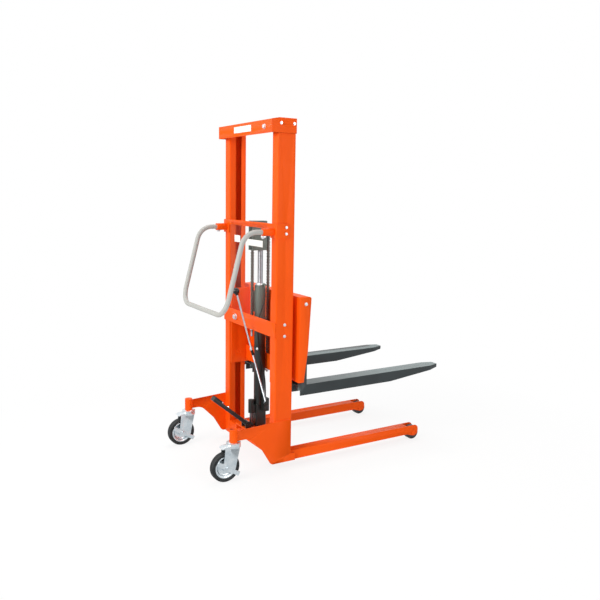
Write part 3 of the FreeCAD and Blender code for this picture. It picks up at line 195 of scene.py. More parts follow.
def powder_coat(name, base, dark, pale, roughness, rubbed):
    """Baked powder coat: even, half glossy, with a fine peel, faint grime and paler edges, partly rubbed and
    partly a painted highlight.
    """
    material, tree = new_tree(name)
    cloud = patches(tree, 240)
    grime = patches(tree, 32, 6.0)
    share = add(tree, "ShaderNodeMapRange", 0, {0: cloud, 1: 0.4, 2: 0.72, 4: 0.55})
    colour = add(tree, "ShaderNodeMix", 2, {0: share, 6: linear(base), 7: linear(dark)}, data_type="RGBA")
    share = add(tree, "ShaderNodeMapRange", 0, {0: grime, 1: 0.58, 2: 0.8, 4: 0.3})
    colour = add(tree, "ShaderNodeMix", 2, {0: share, 6: colour, 7: linear(dark)}, data_type="RGBA")
    # Paler edges in patches: partly rubbed coat, partly a painted highlight along the edges
    edge_wear_and_highlight = add(tree, "ShaderNodeMapRange", 0, {0: grime, 1: 0.42, 2: 0.62, 4: rubbed})
    share = add(tree, "ShaderNodeMath", 0, {0: near_edges(tree, 1.6), 1: edge_wear_and_highlight}, operation="MULTIPLY")
    colour = add(tree, "ShaderNodeMix", 2, {0: share, 6: colour, 7: linear(pale)}, data_type="RGBA")
    gloss = add(tree, "ShaderNodeMapRange", 0,
                {0: grime, 1: 0.3, 2: 0.75, 3: roughness - 0.05, 4: roughness + 0.1})
    # The real peel is about 1 mm across, drawn coarser so that it shows
    peel = patches(tree, 3.0, 2.0)
    bump = add(tree, "ShaderNodeBump", 0, {"Height": peel, "Strength": 0.06, "Distance": 0.1 * MM})
    sockets = {"Base Color": colour, "Roughness": gloss, "Normal": bump, "Specular IOR Level": 0.12}
    return closed(material, tree, sockets)


def worn_enamel(name, base, dark, scuff_and_sheen, roughness, worn, dust_and_sheen):
    """Brushed enamel: pale drag marks on the faces that point up, bare corners, and paler high up, where the
    guard panel's reflection is painted on.
    """
    material, tree = new_tree(name)
    cloud = patches(tree, 110)
    share = add(tree, "ShaderNodeMapRange", 0, {0: cloud, 1: 0.35, 2: 0.72, 4: 0.7})
    colour = add(tree, "ShaderNodeMix", 2, {0: share, 6: linear(base), 7: linear(dark)}, data_type="RGBA")
    # Paler above about 0.7 m: a painted reflection of the clear guard panel that stands in front of the ram
    height = add(tree, "ShaderNodeSeparateXYZ", "Z", {0: add(tree, "ShaderNodeTexCoord", "Object")})
    share = add(tree, "ShaderNodeMapRange", 0, {0: height, 1: 0.6, 2: 0.8, 4: dust_and_sheen})
    colour = add(tree, "ShaderNodeMix", 2, {0: share, 6: colour, 7: linear(scuff_and_sheen)}, data_type="RGBA")
    streak = patches(tree, 16, 5.0, (0.05, 1, 1))
    facing = add(tree, "ShaderNodeSeparateXYZ", "Z", {0: add(tree, "ShaderNodeNewGeometry", "Normal")})
    upward = add(tree, "ShaderNodeMapRange", 0, {0: facing, 1: 0.6, 2: 0.95})
    rubbed = add(tree, "ShaderNodeMapRange", 0, {0: streak, 1: 0.3, 2: 0.66, 3: 0.5 * worn, 4: worn})
    share = add(tree, "ShaderNodeMath", 0, {0: upward, 1: rubbed}, operation="MULTIPLY")
    colour = add(tree, "ShaderNodeMix", 2, {0: share, 6: colour, 7: linear(scuff_and_sheen)}, data_type="RGBA")
    share = add(tree, "ShaderNodeMath", 0, {0: near_edges(tree, 1.4), 1: 0.4}, operation="MULTIPLY")
    colour = add(tree, "ShaderNodeMix", 2, {0: share, 6: colour, 7: linear(scuff_and_sheen)}, data_type="RGBA")
    gloss = add(tree, "ShaderNodeMapRange", 0,
                {0: streak, 1: 0.3, 2: 0.7, 3: roughness - 0.06, 4: roughness + 0.1})
    # Real brush marks are about 0.5 mm apart, drawn coarser so that they show
    brushed = patches(tree, 2.4, 2.0)
    bump = add(tree, "ShaderNodeBump", 0, {"Height": brushed, "Strength": 0.12, "Distance": 0.12 * MM})
    return closed(material, tree, {"Base Color": colour, "Roughness": gloss, "Normal": bump})


def plated_steel(name, base, tint, roughness, drawn=(1, 1, 1)):
    """Plated or drawn steel: bright metal with a cloudy tint and fine drawing lines."""
    material, tree = new_tree(name)
    cloud = patches(tree, 28)
    share = add(tree, "ShaderNodeMapRange", 0, {0: cloud, 1: 0.35, 2: 0.7})
    colour = add(tree, "ShaderNodeMix", 2, {0: share, 6: linear(base), 7: linear(tint)}, data_type="RGBA")
    # Real drawing lines are about 0.2 mm apart, drawn coarser so that they show
    lines = patches(tree, 1.3, 3.0, drawn)
    gloss = add(tree, "ShaderNodeMapRange", 0,
                {0: lines, 1: 0.3, 2: 0.7, 3: roughness - 0.06, 4: roughness + 0.08})
    bump = add(tree, "ShaderNodeBump", 0, {"Height": lines, "Strength": 0.08, "Distance": 0.08 * MM})
    sockets = {"Base Color": colour, "Roughness": gloss, "Normal": bump, "Metallic": 1.0}
    return closed(material, tree, sockets)


def dark_steel(name, base, patchy, bright, roughness, metallic):
    """Oiled or cast steel: dark and patchy with small pits, and bright where edges rub."""
    material, tree = new_tree(name)
    cloud = patches(tree, 14, 5.0)
    share = add(tree, "ShaderNodeMapRange", 0, {0: cloud, 1: 0.35, 2: 0.7})
    colour = add(tree, "ShaderNodeMix", 2, {0: share, 6: linear(base), 7: linear(patchy)}, data_type="RGBA")
    share = add(tree, "ShaderNodeMath", 0, {0: near_edges(tree, 0.8), 1: 0.4}, operation="MULTIPLY")
    colour = add(tree, "ShaderNodeMix", 2, {0: share, 6: colour, 7: linear(bright)}, data_type="RGBA")
    gloss = add(tree, "ShaderNodeMapRange", 0,
                {0: cloud, 1: 0.3, 2: 0.7, 3: roughness - 0.08, 4: roughness + 0.1})
    # Real pits are about 0.3 mm across, drawn coarser so that they show
    pits = patches(tree, 1.8, 3.0)
    bump = add(tree, "ShaderNodeBump", 0, {"Height": pits, "Strength": 0.2, "Distance": 0.2 * MM})
    sockets = {"Base Color": colour, "Roughness": gloss, "Normal": bump, "Metallic": metallic}
    return closed(material, tree, sockets)


def moulded(name, base, dust_and_sheen, roughness, grain_mm, grain):
    """Moulded rubber or plastic: the mould's grain, drawn coarser than it is, and pale dust in patches."""
    material, tree = new_tree(name)
    cloud = patches(tree, 26, 5.0)
    share = add(tree, "ShaderNodeMapRange", 0, {0: cloud, 1: 0.42, 2: 0.76, 4: 0.5})
    colour = add(tree, "ShaderNodeMix", 2, {0: share, 6: linear(base), 7: linear(dust_and_sheen)}, data_type="RGBA")
    gloss = add(tree, "ShaderNodeMapRange", 0,
                {0: cloud, 1: 0.3, 2: 0.7, 3: roughness - 0.05, 4: roughness + 0.08})
    texture = patches(tree, grain_mm, 2.0)
    bump = add(tree, "ShaderNodeBump", 0, {"Height": texture, "Strength": grain, "Distance": 0.2 * MM})
    return closed(material, tree, {"Base Color": colour, "Roughness": gloss, "Normal": bump})


def clear_acrylic(name, base, haze):
    """Clear acrylic sheet: seen through, under a pale haze of wiping marks."""
    material, tree = new_tree(name)
    wiped = patches(tree, 55, 5.0, (1, 1, 0.3))
    veil = add(tree, "ShaderNodeMapRange", 0, {0: wiped, 1: 0.3, 2: 0.7, 3: 0.5 * haze, 4: 1.5 * haze})
    gloss = add(tree, "ShaderNodeMapRange", 0, {0: wiped, 1: 0.3, 2: 0.7, 3: 0.08, 4: 0.2})
    sockets = {"Base Color": linear(base), "Roughness": gloss, "Alpha": veil, "Specular IOR Level": 0.1}
    return closed(material, tree, sockets)


FINISHES = {}


def make_finishes():
    """One material for each slot of the record, and one each for the release rod and the bare plates."""
    colours = bpy.context.scene.stacker_colours
    FINISHES.update({
        # Orange powder coat on folded steel: strong and even, soft highlights on the folds, and pale edges
        # that are partly rubbed, partly a painted highlight
        "orange_paint": powder_coat("orange_powder_coat", colours.frame, "#F0530A", "#FFA070", 0.4, 0.5),
        # Black enamel on the forks: dark grey green sides, tops scuffed pale by pallets
        "fork_paint": worn_enamel("fork_black_enamel", colours.forks, "#1E2426", "#8B9B9B", 0.4, 0.8, 0.0),
        # Black enamel on the ram and the pump: half glossy, hardly worn, grey green, paler at the top with
        # the guard panel's reflection painted on
        "ram_paint": worn_enamel("ram_black_enamel", colours.ram, "#1C2120", "#66726B", 0.34, 0.25, 0.85),
        # Grey white enamel on the handle: smooth, slightly warm
        "handle_paint": powder_coat("handle_grey_enamel", colours.handle, "#ABACA9", "#D6D6D2", 0.4, 0.0),
        # Bright zinc plate on the casters and bolts: pale bluish metal
        "zinc": plated_steel("bright_zinc_plate", "#EDF2F5", "#D3DDE3", 0.3),
        # Hard chrome on the ram's rod: grey satin metal, ground along its length
        "chrome": plated_steel("hard_chrome_plate", "#8F8F94", "#7C7D83", 0.34, (1, 1, 0.02)),
        # Drawn steel on the release rod: pale grey, lines along its length
        "drawn_steel": plated_steel("bright_drawn_steel", "#C2CAD1", "#AEB6BE", 0.34, (1, 1, 0.05)),
        # Oiled chain steel: dark grey with brighter plate edges
        "chain_steel": dark_steel("oiled_chain_steel", "#5E5A56", "#716C67", "#A5A29D", 0.4, 0.5),
        # Machined cast iron: mid grey, finely pitted
        "cast_iron": dark_steel("machined_cast_iron", "#4A4B4E", "#3A3A3B", "#8F8E8C", 0.42, 0.8),
        # Black tyre rubber: matt, dusty on the tread
        "tyre_rubber": moulded("black_tyre_rubber", "#141618", "#3C3F42", 0.6, 1.3, 0.25),
        # Matt black rubber: hose and pedal tread
        "rubber": moulded("matt_black_rubber", "#08090A", "#191A1C", 0.5, 1.2, 0.2),
        # Dark nylon: load rollers, slightly waxy
        "nylon": moulded("dark_nylon", "#2A2B2E", "#4A4B4E", 0.46, 1.6, 0.15),
        # Clear acrylic on the guard panel: hardly seen but for a pale film of wiping marks
        "clear_sheet": clear_acrylic("clear_acrylic_sheet", "#DCE6DF", 0.015),
        # Gloss black phenolic on the ball knob: deep black with a sharp highlight
        "knob_plastic": moulded("gloss_black_phenolic", "#0C0D0E", "#191A1C", 0.16, 5.0, 0.02),
        # Pale plastic on the bare plates: smooth and half glossy
        "bare_plate": moulded("smooth_pale_plastic", colours.plates, "#DFDFDA", 0.36, 2.2, 0.04),
    })


# Meshes

def smooth(mesh, angle=35):
    """Shades a mesh smooth, apart from edges sharper than an angle."""
    mesh.shade_smooth()
    mesh.set_sharp_from_angle(angle=math.radians(angle))
    return mesh


def mesh_from(bm, name):
    mesh = bpy.data.meshes.new(name)
    bm.to_mesh(mesh)
    bm.free()
    return smooth(mesh)


def new_piece(name, mesh, body, slot, finish=None):
    """Links a finished mesh as a piece that rides on a body."""
    piece = bpy.data.objects.new(name, mesh)
    bpy.context.scene.collection.objects.link(piece)
    mesh.materials.clear()
    mesh.materials.append(FINISHES[finish or slot])
    if body:
        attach(piece, body)
    return piece


def softened(node, fold, cut, long_edge=90 * MM, bend_from=32):
    """A copy of a CAD node with rounded edges: long folds by one radius, the other edges by another."""
    bm = bmesh.new()
    bm.from_mesh(NODES[node].data)
    bmesh.ops.remove_doubles(bm, verts=bm.verts, dist=2e-6)
    bmesh.ops.dissolve_limit(bm, angle_limit=math.radians(0.4), verts=bm.verts, edges=bm.edges)
    for is_fold, radius in ((True, fold), (False, cut)):
        chosen = []
        for edge in bm.edges:
            if len(edge.link_faces) != 2 or not edge.is_convex:
                continue
            if edge.calc_face_angle() < math.radians(bend_from):
                continue
            if is_fold == (edge.calc_length() > long_edge):
                chosen.append(edge)
        if chosen and radius:
            bmesh.ops.bevel(bm, geom=chosen, offset=radius, offset_type="OFFSET", segments=3,
                            profile=0.5, affect="EDGES", clamp_overlap=True)
    large = [face for face in bm.faces if len(face.verts) > 4]
    bmesh.ops.triangulate(bm, faces=large)
    return mesh_from(bm, node + "_shell")


def lathe(bm, profile, centre, axis, steps=64):
    """Turns a closed profile of (radius, along) points in millimetres about an axis."""
    turn = Z_AXIS.rotation_difference(axis).to_matrix()
    rings = []
    for step in range(steps):
        angle = 2 * math.pi * step / steps
        ring = []
        for radius, along in profile:
            reach = radius * MM
            point = Vector((reach * math.cos(angle), reach * math.sin(angle), along * MM))
            ring.append(bm.verts.new(centre + turn @ point))
        rings.append(ring)
    for step in range(steps):
        here = rings[step]
        after = rings[(step + 1) % steps]
        for index in range(len(profile)):
            following = (index + 1) % len(profile)
            bm.faces.new((here[index], after[index], after[following], here[following]))


def mirrored(half):
    """A whole profile from its first half, the same on both sides of the middle."""
    return half + [(radius, -along) for radius, along in reversed(half)]


def turned(name, profile, centre, axis, steps=64):
    """A mesh of one profile turned about an axis, with poles and normals mended."""
    bm = bmesh.new()
    lathe(bm, profile, centre, axis, steps)
    return mended(bm, name)


def mended(bm, name):
    """A mesh whose poles are closed and whose faces all point outwards."""
    bmesh.ops.remove_doubles(bm, verts=bm.verts, dist=1e-7)
    bmesh.ops.dissolve_degenerate(bm, edges=bm.edges, dist=1e-7)
    bmesh.ops.recalc_face_normals(bm, faces=bm.faces)
    return mesh_from(bm, name)


def block(bm, corner, opposite, radius):
    """A box between two corners with rounded edges."""
    size = opposite - corner
    shift = Matrix.Translation((corner + opposite) / 2) @ Matrix.Diagonal((*size, 1))
    made = bmesh.ops.create_cube(bm, size=1.0, matrix=shift)
    edges = list({edge for vert in made["verts"] for edge in vert.link_edges})
    bmesh.ops.bevel(bm, geom=edges, offset=radius, segments=2, profile=0.5, affect="EDGES")


# Geometry Nodes

def stand(bm, name):
    """A shape that a node tree repeats, out of the scene."""
    return bpy.data.objects.new(name, mended(bm, name))


def path_mesh(name, runs):
    """A mesh of open lines, each through its own points."""
    mesh = bpy.data.meshes.new(name)
    points = [point for run in runs for point in run]
    edges = []
    start = 0
    for run in runs:
        edges += [(start + step, start + step + 1) for step in range(len(run) - 1)]
        start += len(run)
    mesh.from_pydata(points, edges, [])
    return mesh


def repeated(name, tree, mesh, inputs):
    """Runs a node tree on a mesh and returns the result as a plain mesh."""
    holder = bpy.data.objects.new(name, mesh)
    bpy.context.scene.collection.objects.link(holder)
    modifier = holder.modifiers.new("nodes", "NODES")
    modifier.node_group = tree
    for socket in tree.interface.items_tree:
        if socket.in_out == "INPUT" and socket.name in inputs:
            modifier[socket.identifier] = inputs[socket.name]
    evaluated = holder.evaluated_get(bpy.context.evaluated_depsgraph_get())
    result = bpy.data.meshes.new_from_object(evaluated)
    holder.modifiers.remove(modifier)
    bpy.data.objects.remove(holder)
    return smooth(result)


def geometry_tree(name, inputs):
    """An empty Geometry Nodes tree with named inputs; returns the tree and its group input node."""
    tree = bpy.data.node_groups.new(name, "GeometryNodeTree")
    tree.interface.new_socket("Geometry", in_out="INPUT", socket_type="NodeSocketGeometry")
    for label, kind in inputs.items():
        tree.interface.new_socket(label, in_out="INPUT", socket_type=kind)
    tree.interface.new_socket("Geometry", in_out="OUTPUT", socket_type="NodeSocketGeometry")
    return tree, tree.nodes.new("NodeGroupInput")


def close_tree(tree, geometry, material):
    """Ends a tree in Realize Instances, Set Material and the group's output."""
    real = add(tree, "GeometryNodeRealizeInstances", 0, {"Geometry": geometry})
    coated = add(tree, "GeometryNodeSetMaterial", 0, {"Geometry": real, "Material": material})
    add(tree, "NodeGroupOutput", 0, {0: coated})


def chain_tree():
    """Links along a path: outer and inner links by turns, each laid from its point to the next."""
    sockets = {"Links": "NodeSocketInt", "Outer": "NodeSocketObject", "Inner": "NodeSocketObject",
               "Finish": "NodeSocketMaterial"}
    tree, given = geometry_tree("chain_links", sockets)
    curve = add(tree, "GeometryNodeMeshToCurve", 0, {"Mesh": given.outputs["Geometry"]})
    points = add(tree, "ShaderNodeMath", 0, {0: given.outputs["Links"], 1: 1.0}, operation="ADD")
    spaced = add(tree, "GeometryNodeResampleCurve", 0, {"Curve": curve, "Count": points})
    index = add(tree, "GeometryNodeInputIndex")
    odd = add(tree, "ShaderNodeMath", 0, {0: index, 1: 2.0}, operation="MODULO")
    place = add(tree, "GeometryNodeInputPosition")
    following = add(tree, "ShaderNodeMath", 0, {0: index, 1: 1.0}, operation="ADD")
    ahead = add(tree, "GeometryNodeFieldAtIndex", 0, {"Index": following, "Value": place},
                data_type="FLOAT_VECTOR")
    heading = add(tree, "ShaderNodeVectorMath", 0, {0: ahead, 1: place}, operation="SUBTRACT")
    turn = add(tree, "FunctionNodeAxesToRotation", 0, {0: heading, 1: Y_AXIS},
               primary_axis="X", secondary_axis="Y")
    before_end = add(tree, "FunctionNodeCompare", 0, {2: index, 3: given.outputs["Links"]},
                     data_type="INT", operation="LESS_THAN")
    joined = tree.nodes.new("GeometryNodeJoinGeometry")
    for label, wanted in (("Outer", 0.0), ("Inner", 1.0)):
        pick = add(tree, "FunctionNodeCompare", 0, {0: odd, 1: wanted, "Epsilon": 0.1}, operation="EQUAL")
        pick = add(tree, "FunctionNodeBooleanMath", 0, {0: pick, 1: before_end}, operation="AND")
        link = add(tree, "GeometryNodeObjectInfo", "Geometry", {"Object": given.outputs[label]})
        placed = add(tree, "GeometryNodeInstanceOnPoints", 0,
                     {"Points": spaced, "Selection": pick, "Instance": link, "Rotation": turn})
        tree.links.new(placed, joined.inputs[0])
    close_tree(tree, joined.outputs[0], given.outputs["Finish"])
    return tree


def bead_tree():
    """Overlapping drops along a path, as a welded seam shows."""
    sockets = {"Spacing": "NodeSocketFloat", "Size": "NodeSocketFloat", "Finish": "NodeSocketMaterial"}
    tree, given = geometry_tree("weld_beads", sockets)
    curve = add(tree, "GeometryNodeMeshToCurve", 0, {"Mesh": given.outputs["Geometry"]})
    resample = tree.nodes.new("GeometryNodeResampleCurve")
    resample.mode = "LENGTH"
    tree.links.new(curve, resample.inputs["Curve"])
    tree.links.new(given.outputs["Spacing"], resample.inputs["Length"])
    drop = add(tree, "GeometryNodeMeshIcoSphere", 0, {"Radius": given.outputs["Size"], "Subdivisions": 2})
    uneven = add(tree, "FunctionNodeRandomValue", 1, {2: 0.82, 3: 1.12, "Seed": 4}, data_type="FLOAT")
    placed = add(tree, "GeometryNodeInstanceOnPoints", 0,
                 {"Points": resample.outputs[0], "Instance": drop, "Scale": uneven})
    close_tree(tree, placed, given.outputs["Finish"])
    return tree


def seated_tree():
    """One shape on each point, turned to the point's own facing direction and scaled by its own size."""
    sockets = {"Shape": "NodeSocketObject", "Finish": "NodeSocketMaterial"}
    tree, given = geometry_tree("seated_shapes", sockets)
    facing = add(tree, "GeometryNodeInputNamedAttribute", 0, {"Name": "facing"}, data_type="FLOAT_VECTOR")
    scale = add(tree, "GeometryNodeInputNamedAttribute", 0, {"Name": "scale"}, data_type="FLOAT")
    turn = add(tree, "FunctionNodeAlignRotationToVector", 0, {"Vector": facing}, axis="Z")
    shape = add(tree, "GeometryNodeObjectInfo", "Geometry", {"Object": given.outputs["Shape"]})
    placed = add(tree, "GeometryNodeInstanceOnPoints", 0,
                 {"Points": given.outputs["Geometry"], "Instance": shape, "Rotation": turn, "Scale": scale})
    close_tree(tree, placed, given.outputs["Finish"])
    return tree


def seat_mesh(name, seats):
    """Points that carry a facing direction and a size, for the tree of seated shapes."""
    mesh = bpy.data.meshes.new(name)
    mesh.from_pydata([place for place, facing, size in seats], [], [])
    mesh.attributes.new("facing", "FLOAT_VECTOR", "POINT")
    mesh.attributes.new("scale", "FLOAT", "POINT")
    for index, (place, direction, size) in enumerate(seats):
        mesh.attributes["facing"].data[index].vector = direction
        mesh.attributes["scale"].data[index].value = size
    return mesh


def hexagon_head():
    """A hexagon bolt head on a washer, its top chamfered round, standing on the origin along Z."""
    bm = bmesh.new()
    washer = sizes().washer / MM
    ring = [(5.2, 0.0), (washer, 0.0), (washer, 1.4), (washer - 0.4, 1.8), (5.2, 1.8)]
    lathe(bm, ring, Vector(), Z_AXIS, 32)
    flats = [(0.0, 1.8), (9.8, 1.8), (9.8, 7.4), (8.5, 8.4), (0.0, 8.6)]
    lathe(bm, flats, Vector(), Z_AXIS, 6)
    return stand(bm, "hexagon_head")


def seated(name, body, slot, shape, seats):
    """One shape repeated on its seats, as one piece."""
    tree = bpy.data.node_groups.get("seated_shapes") or seated_tree()
    inputs = {"Shape": shape, "Finish": FINISHES[slot]}
    return new_piece(name, repeated(name, tree, seat_mesh(name, seats), inputs), body, slot)


def welded(name, body, runs):
    """Painted weld beads along lines, as one piece."""
    tree = bpy.data.node_groups.get("weld_beads") or bead_tree()
    bead = sizes().bead
    inputs = {"Spacing": 1.3 * bead, "Size": bead, "Finish": FINISHES["orange_paint"]}
    mesh = repeated(name, tree, path_mesh(name + "_path", runs), inputs)
    return new_piece(name, mesh, body, "orange_paint")


class STACKER_OT_finish_nodes(bpy.types.Operator):
    """Makes the finishes and gives every CAD node the material of its slot"""
    bl_idname = "stacker.finish_nodes"
    bl_label = "Finish the CAD pieces"

    def execute(self, context):
        make_finishes()
        for node, piece in NODES.items():
            piece.data.materials.clear()
            piece.data.materials.append(FINISHES[SLOT_OF[node]])
        return {"FINISHED"}


class STACKER_OT_soften_metal(bpy.types.Operator):
    """Stands copies with rounded folds and edges in the place of the folded and cast pieces"""
    bl_idname = "stacker.soften_metal"
    bl_label = "Round the folds and edges"

    def execute(self, context):
        fold = sizes().fold
        cut = sizes().cut
        cast = 2 * cut
        fine = cut / 2
        shells = {"mast_top_bar": (fold, cut), "handle_crossbar": (fold, cut), "mid_crossbar": (fold, cut),
                  "base_crossbeam": (fold, cut), "carriage_beam": (cut, cut),
                  "carriage_side_plates": (cut, cut), "carriage_cross_plate": (cut, cut),
                  "crosshead": (cast, cast), "pump_block": (cast, cast), "release_valve": (cast, cast),
                  "pedal_arm": (cast, cut)}
        plain = ["pump_barrel", "cylinder_clamp", "guard_panel", "handle_sockets", "pedal_bracket",
                 "pedal_pin", "roller_axles", "caster_stems", "cylinder_tube", "pump_plunger", "release_rod",
                 "chain_anchor_bolt", "carriage_chain_anchor", "chain_sprocket", "sprocket_axle",
                 "piston_rod", "guide_axles", "fork_shaft"]
        for side in SIDES:
            plain += ["guide_roller_lower_" + side, "guide_roller_upper_" + side]
        shells.update({node: (fine, fine) for node in plain})
        for side in SIDES:
            shells["mast_post_" + side] = (cut, cut)
            shells["side_plate_" + side] = (cut, cut)
            shells["leg_" + side] = (fold, cut)
            shells["fork_" + side] = (fold, cut)
            shells["caster_yoke_" + side] = (cut, cut)
            shells["caster_brake_" + side] = (cut, cut)
        painted_over = {"roller_axles": "orange_paint", "release_rod": "drawn_steel",
                        "pedal_pin": "ram_paint"}
        for node, (fold_radius, cut_radius) in shells.items():
            mesh = softened(node, fold_radius, cut_radius)
            shell = new_piece(node + "_shell", mesh, BODY_OF[node], SLOT_OF[node], painted_over.get(node))
            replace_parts(shell, node)
        return {"FINISHED"}


# Sizes of the chain in millimetres, from its middle line
OUTER_FACE = 8.0
INNER_FACE = 6.5
LINK_SHEET = 2.7
LINK_END_R = 6.6
LINK_WAIST = 3.0
ROLLER_R = 5.08
ROLLER_END = 5.3
PIN_R = 2.4
PIN_END = 8.9
TURN_STEPS = 48


class STACKER_OT_build_chain(bpy.types.Operator):
    """Lays the lifting chain link by link: both straight runs and the turn over the sprocket"""
    bl_idname = "stacker.build_chain"
    bl_label = "Lay the chain"

    def execute(self, context):
        pitch = sizes().chain_pitch
        hub = middle("chain_sprocket")
        rear = middle("lift_chain_rear")
        front = middle("lift_chain_front")
        radius = (front.x - rear.x) / 2
        rear_foot = Vector((rear.x, 0, low("lift_chain_rear").z))
        front_foot = Vector((front.x, 0, low("lift_chain_front").z))
        joint = Vector((rear.x, 0, hub.z - pitch / 2))
        turn = [joint]
        for step in range(TURN_STEPS + 1):
            angle = math.pi - math.pi * step / TURN_STEPS
            turn.append(Vector((hub.x + radius * math.cos(angle), 0, hub.z + radius * math.sin(angle))))
        outer = self.link("outer_link", pitch, OUTER_FACE)
        inner = self.link("inner_link", pitch, INNER_FACE)
        tree = chain_tree()
        runs = {"lift_chain_rear": [rear_foot, joint], "chain_wrap": turn,
                "lift_chain_front": [turn[-1], front_foot]}
        for node, points in runs.items():
            length = sum((after - before).length for before, after in zip(points, points[1:]))
            inputs = {"Links": round(length / pitch), "Outer": outer, "Inner": inner,
                      "Finish": FINISHES["chain_steel"]}
            mesh = repeated(node + "_links", tree, path_mesh(node + "_path", [points]), inputs)
            body = "crosshead" if node == "chain_wrap" else None
            piece = new_piece(node + "_links", mesh, body, "chain_steel")
            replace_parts(piece, node)
            if node == "lift_chain_rear":
                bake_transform(piece)
            if node == "lift_chain_front":
                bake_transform(piece)
        return {"FINISHED"}

    def link(self, name, pitch, face):
        """Two waisted side plates, with a roller and a pin at one end, along X from the origin."""
        bm = bmesh.new()
        half = LINK_END_R * MM
        for sign in (1, -1):
            outline = []
            for centre, start, waist in ((0.0, 60, -LINK_WAIST), (pitch, -120, LINK_WAIST)):
                for step in range(9):
                    angle = math.radians(start + 30 * step)
                    outline.append(Vector((centre + half * math.cos(angle), 0, half * math.sin(angle))))
                outline.append(Vector((pitch / 2, 0, waist * MM)))
            near = sign * (face - LINK_SHEET) * MM
            far = sign * face * MM
            rings = [[bm.verts.new(point + Y_AXIS * y) for point in outline] for y in (near, far)]
            count = len(outline)
            for index in range(count):
                following = (index + 1) % count
                bm.faces.new((rings[0][index], rings[0][following], rings[1][following], rings[1][index]))
            bm.faces.new(rings[0])
            bm.faces.new(reversed(rings[1]))
        for radius, end in ((ROLLER_R, ROLLER_END), (PIN_R, PIN_END)):
            lathe(bm, mirrored([(0, -end), (radius, -end)]), Vector(), Y_AXIS, 12)
        return stand(bm, name)


# Half profiles of the wheels: (radius, along) in millimetres, from one face to the middle
TYRE = [(56.2, -14.5), (61.5, -18.0), (69.0, -18.0), (72.6, -16.8), (74.6, -14.0), (75.0, -9.0),
        (75.0, -6.6), (73.4, -6.0), (73.4, -5.0), (75.0, -4.4)]
DISC = [(6.2, -19.4), (14.0, -19.4), (15.0, -18.4), (16.5, -9.0), (20.0, -5.0), (37.0, -4.2),
        (42.0, -6.6), (46.5, -12.0), (50.5, -14.8), (54.0, -15.4), (56.1, -14.6)]
DRUM = [(10.2, -20.0), (22.0, -20.0), (22.0, -18.6), (33.0, -18.6), (34.0, -20.0), (37.0, -20.0),
        (39.4, -18.8), (40.0, -17.0)]
# Whole profile of the domed housing round a caster's ball race, down from its top
HOUSING = [(20.0, -20.0), (35.2, -20.0), (36.0, -18.5), (36.0, -5.5), (35.4, -3.6), (33.6, -2.0),
           (30.0, -0.1), (20.0, -0.1)]
# How far the nuts sit from the wheel's middle, and their size beside the hexagon head as it is drawn
NUT_REACH = 27.2
NUT_HEAD = 0.75


class STACKER_OT_build_wheels(bpy.types.Operator):
    """Turns the tyres, pressed discs and swivel housings of the casters, and the load rollers"""
    bl_idname = "stacker.build_wheels"
    bl_label = "Turn the wheels and rollers"

    def execute(self, context):
        for side in SIDES:
            hub = middle("caster_tyre_" + side)
            yoke = "caster_yoke_" + side
            self.wheel("caster_tyre_" + side, "_tread", TYRE, hub, 96, "tyre_rubber")
            self.wheel("caster_rim_" + side, "_disc", DISC, hub, 72, "zinc")
            stem = Vector((middle("caster_stems").x, hub.y, high(yoke).z))
            mesh = turned("housing_" + side, HOUSING, stem, Z_AXIS)
            new_piece("caster_housing_" + side, mesh, BODY_OF[yoke], "zinc")
            nuts = []
            for sign in SIDES.values():
                nuts.append((hub + Y_AXIS * sign * NUT_REACH * MM, Y_AXIS * sign, NUT_HEAD))
            seated("caster_nuts_" + side, BODY_OF[yoke], "zinc", hexagon_head(), nuts)
            roller = "load_roller_" + side
            self.wheel(roller, "_drum", DRUM, middle(roller), 96, "nylon")
        return {"FINISHED"}

    def wheel(self, node, ending, half, centre, steps, slot):
        """A turned wheel or roller in the place of its CAD node."""
        mesh = turned(node + ending, mirrored(half), centre, Y_AXIS, steps)
        piece = new_piece(node + ending, mesh, BODY_OF[node], slot)
        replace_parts(piece, node)


# Outer faces across the mast in millimetres: the posts, and the plates and cheeks outside them
POST_SIDE = 297
PLATE_SIDE = 301.8


class STACKER_OT_build_bolts(bpy.types.Operator):
    """Sets hexagon bolts with washers on the mast and on the ends of the forks' shaft"""
    bl_idname = "stacker.build_bolts"
    bl_label = "Set the bolts"

    def execute(self, context):
        post_bolts = ((51, 707), (51, 766))
        cheek_bolts = ((51, 1226), (51, 1258), (14, 1760.2), (87.7, 1760.2))
        # Sizes of the heads, beside the hexagon head as it is drawn
        post_head = 0.7
        cheek_head = 0.65
        socket_head = 0.87
        shaft_head = 0.82
        top_bar_head = 1.1
        mid_bar_head = 1.5
        shaft = middle("fork_shaft")
        seats = []
        ends = []
        for sign in SIDES.values():
            outward = Y_AXIS * sign
            for x, z in post_bolts:
                seats.append((at(x, sign * POST_SIDE, z), outward, post_head))
            for x, z in cheek_bolts:
                seats.append((at(x, sign * PLATE_SIDE, z), outward, cheek_head))
            socket_screw = at(-55, sign * 268.7, 1216)
            seats.append((socket_screw, -Z_AXIS, socket_head))
            shaft_end = Vector((shaft.x, sign * high("carriage_beam").y, shaft.z))
            ends.append((shaft_end, outward, shaft_head))
        top_bar_bolt = at(-36.7, -226, 1746.2)
        mid_bar_bolt = at(-6, 150, 740.5)
        seats += [(top_bar_bolt, -X_AXIS, top_bar_head), (mid_bar_bolt, -X_AXIS, mid_bar_head)]
        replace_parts(seated("mast_bolts", "frame", "zinc", hexagon_head(), seats), "frame_bolts")
        seated("shaft_bolts", "carriage", "zinc", hexagon_head(), ends)
        return {"FINISHED"}


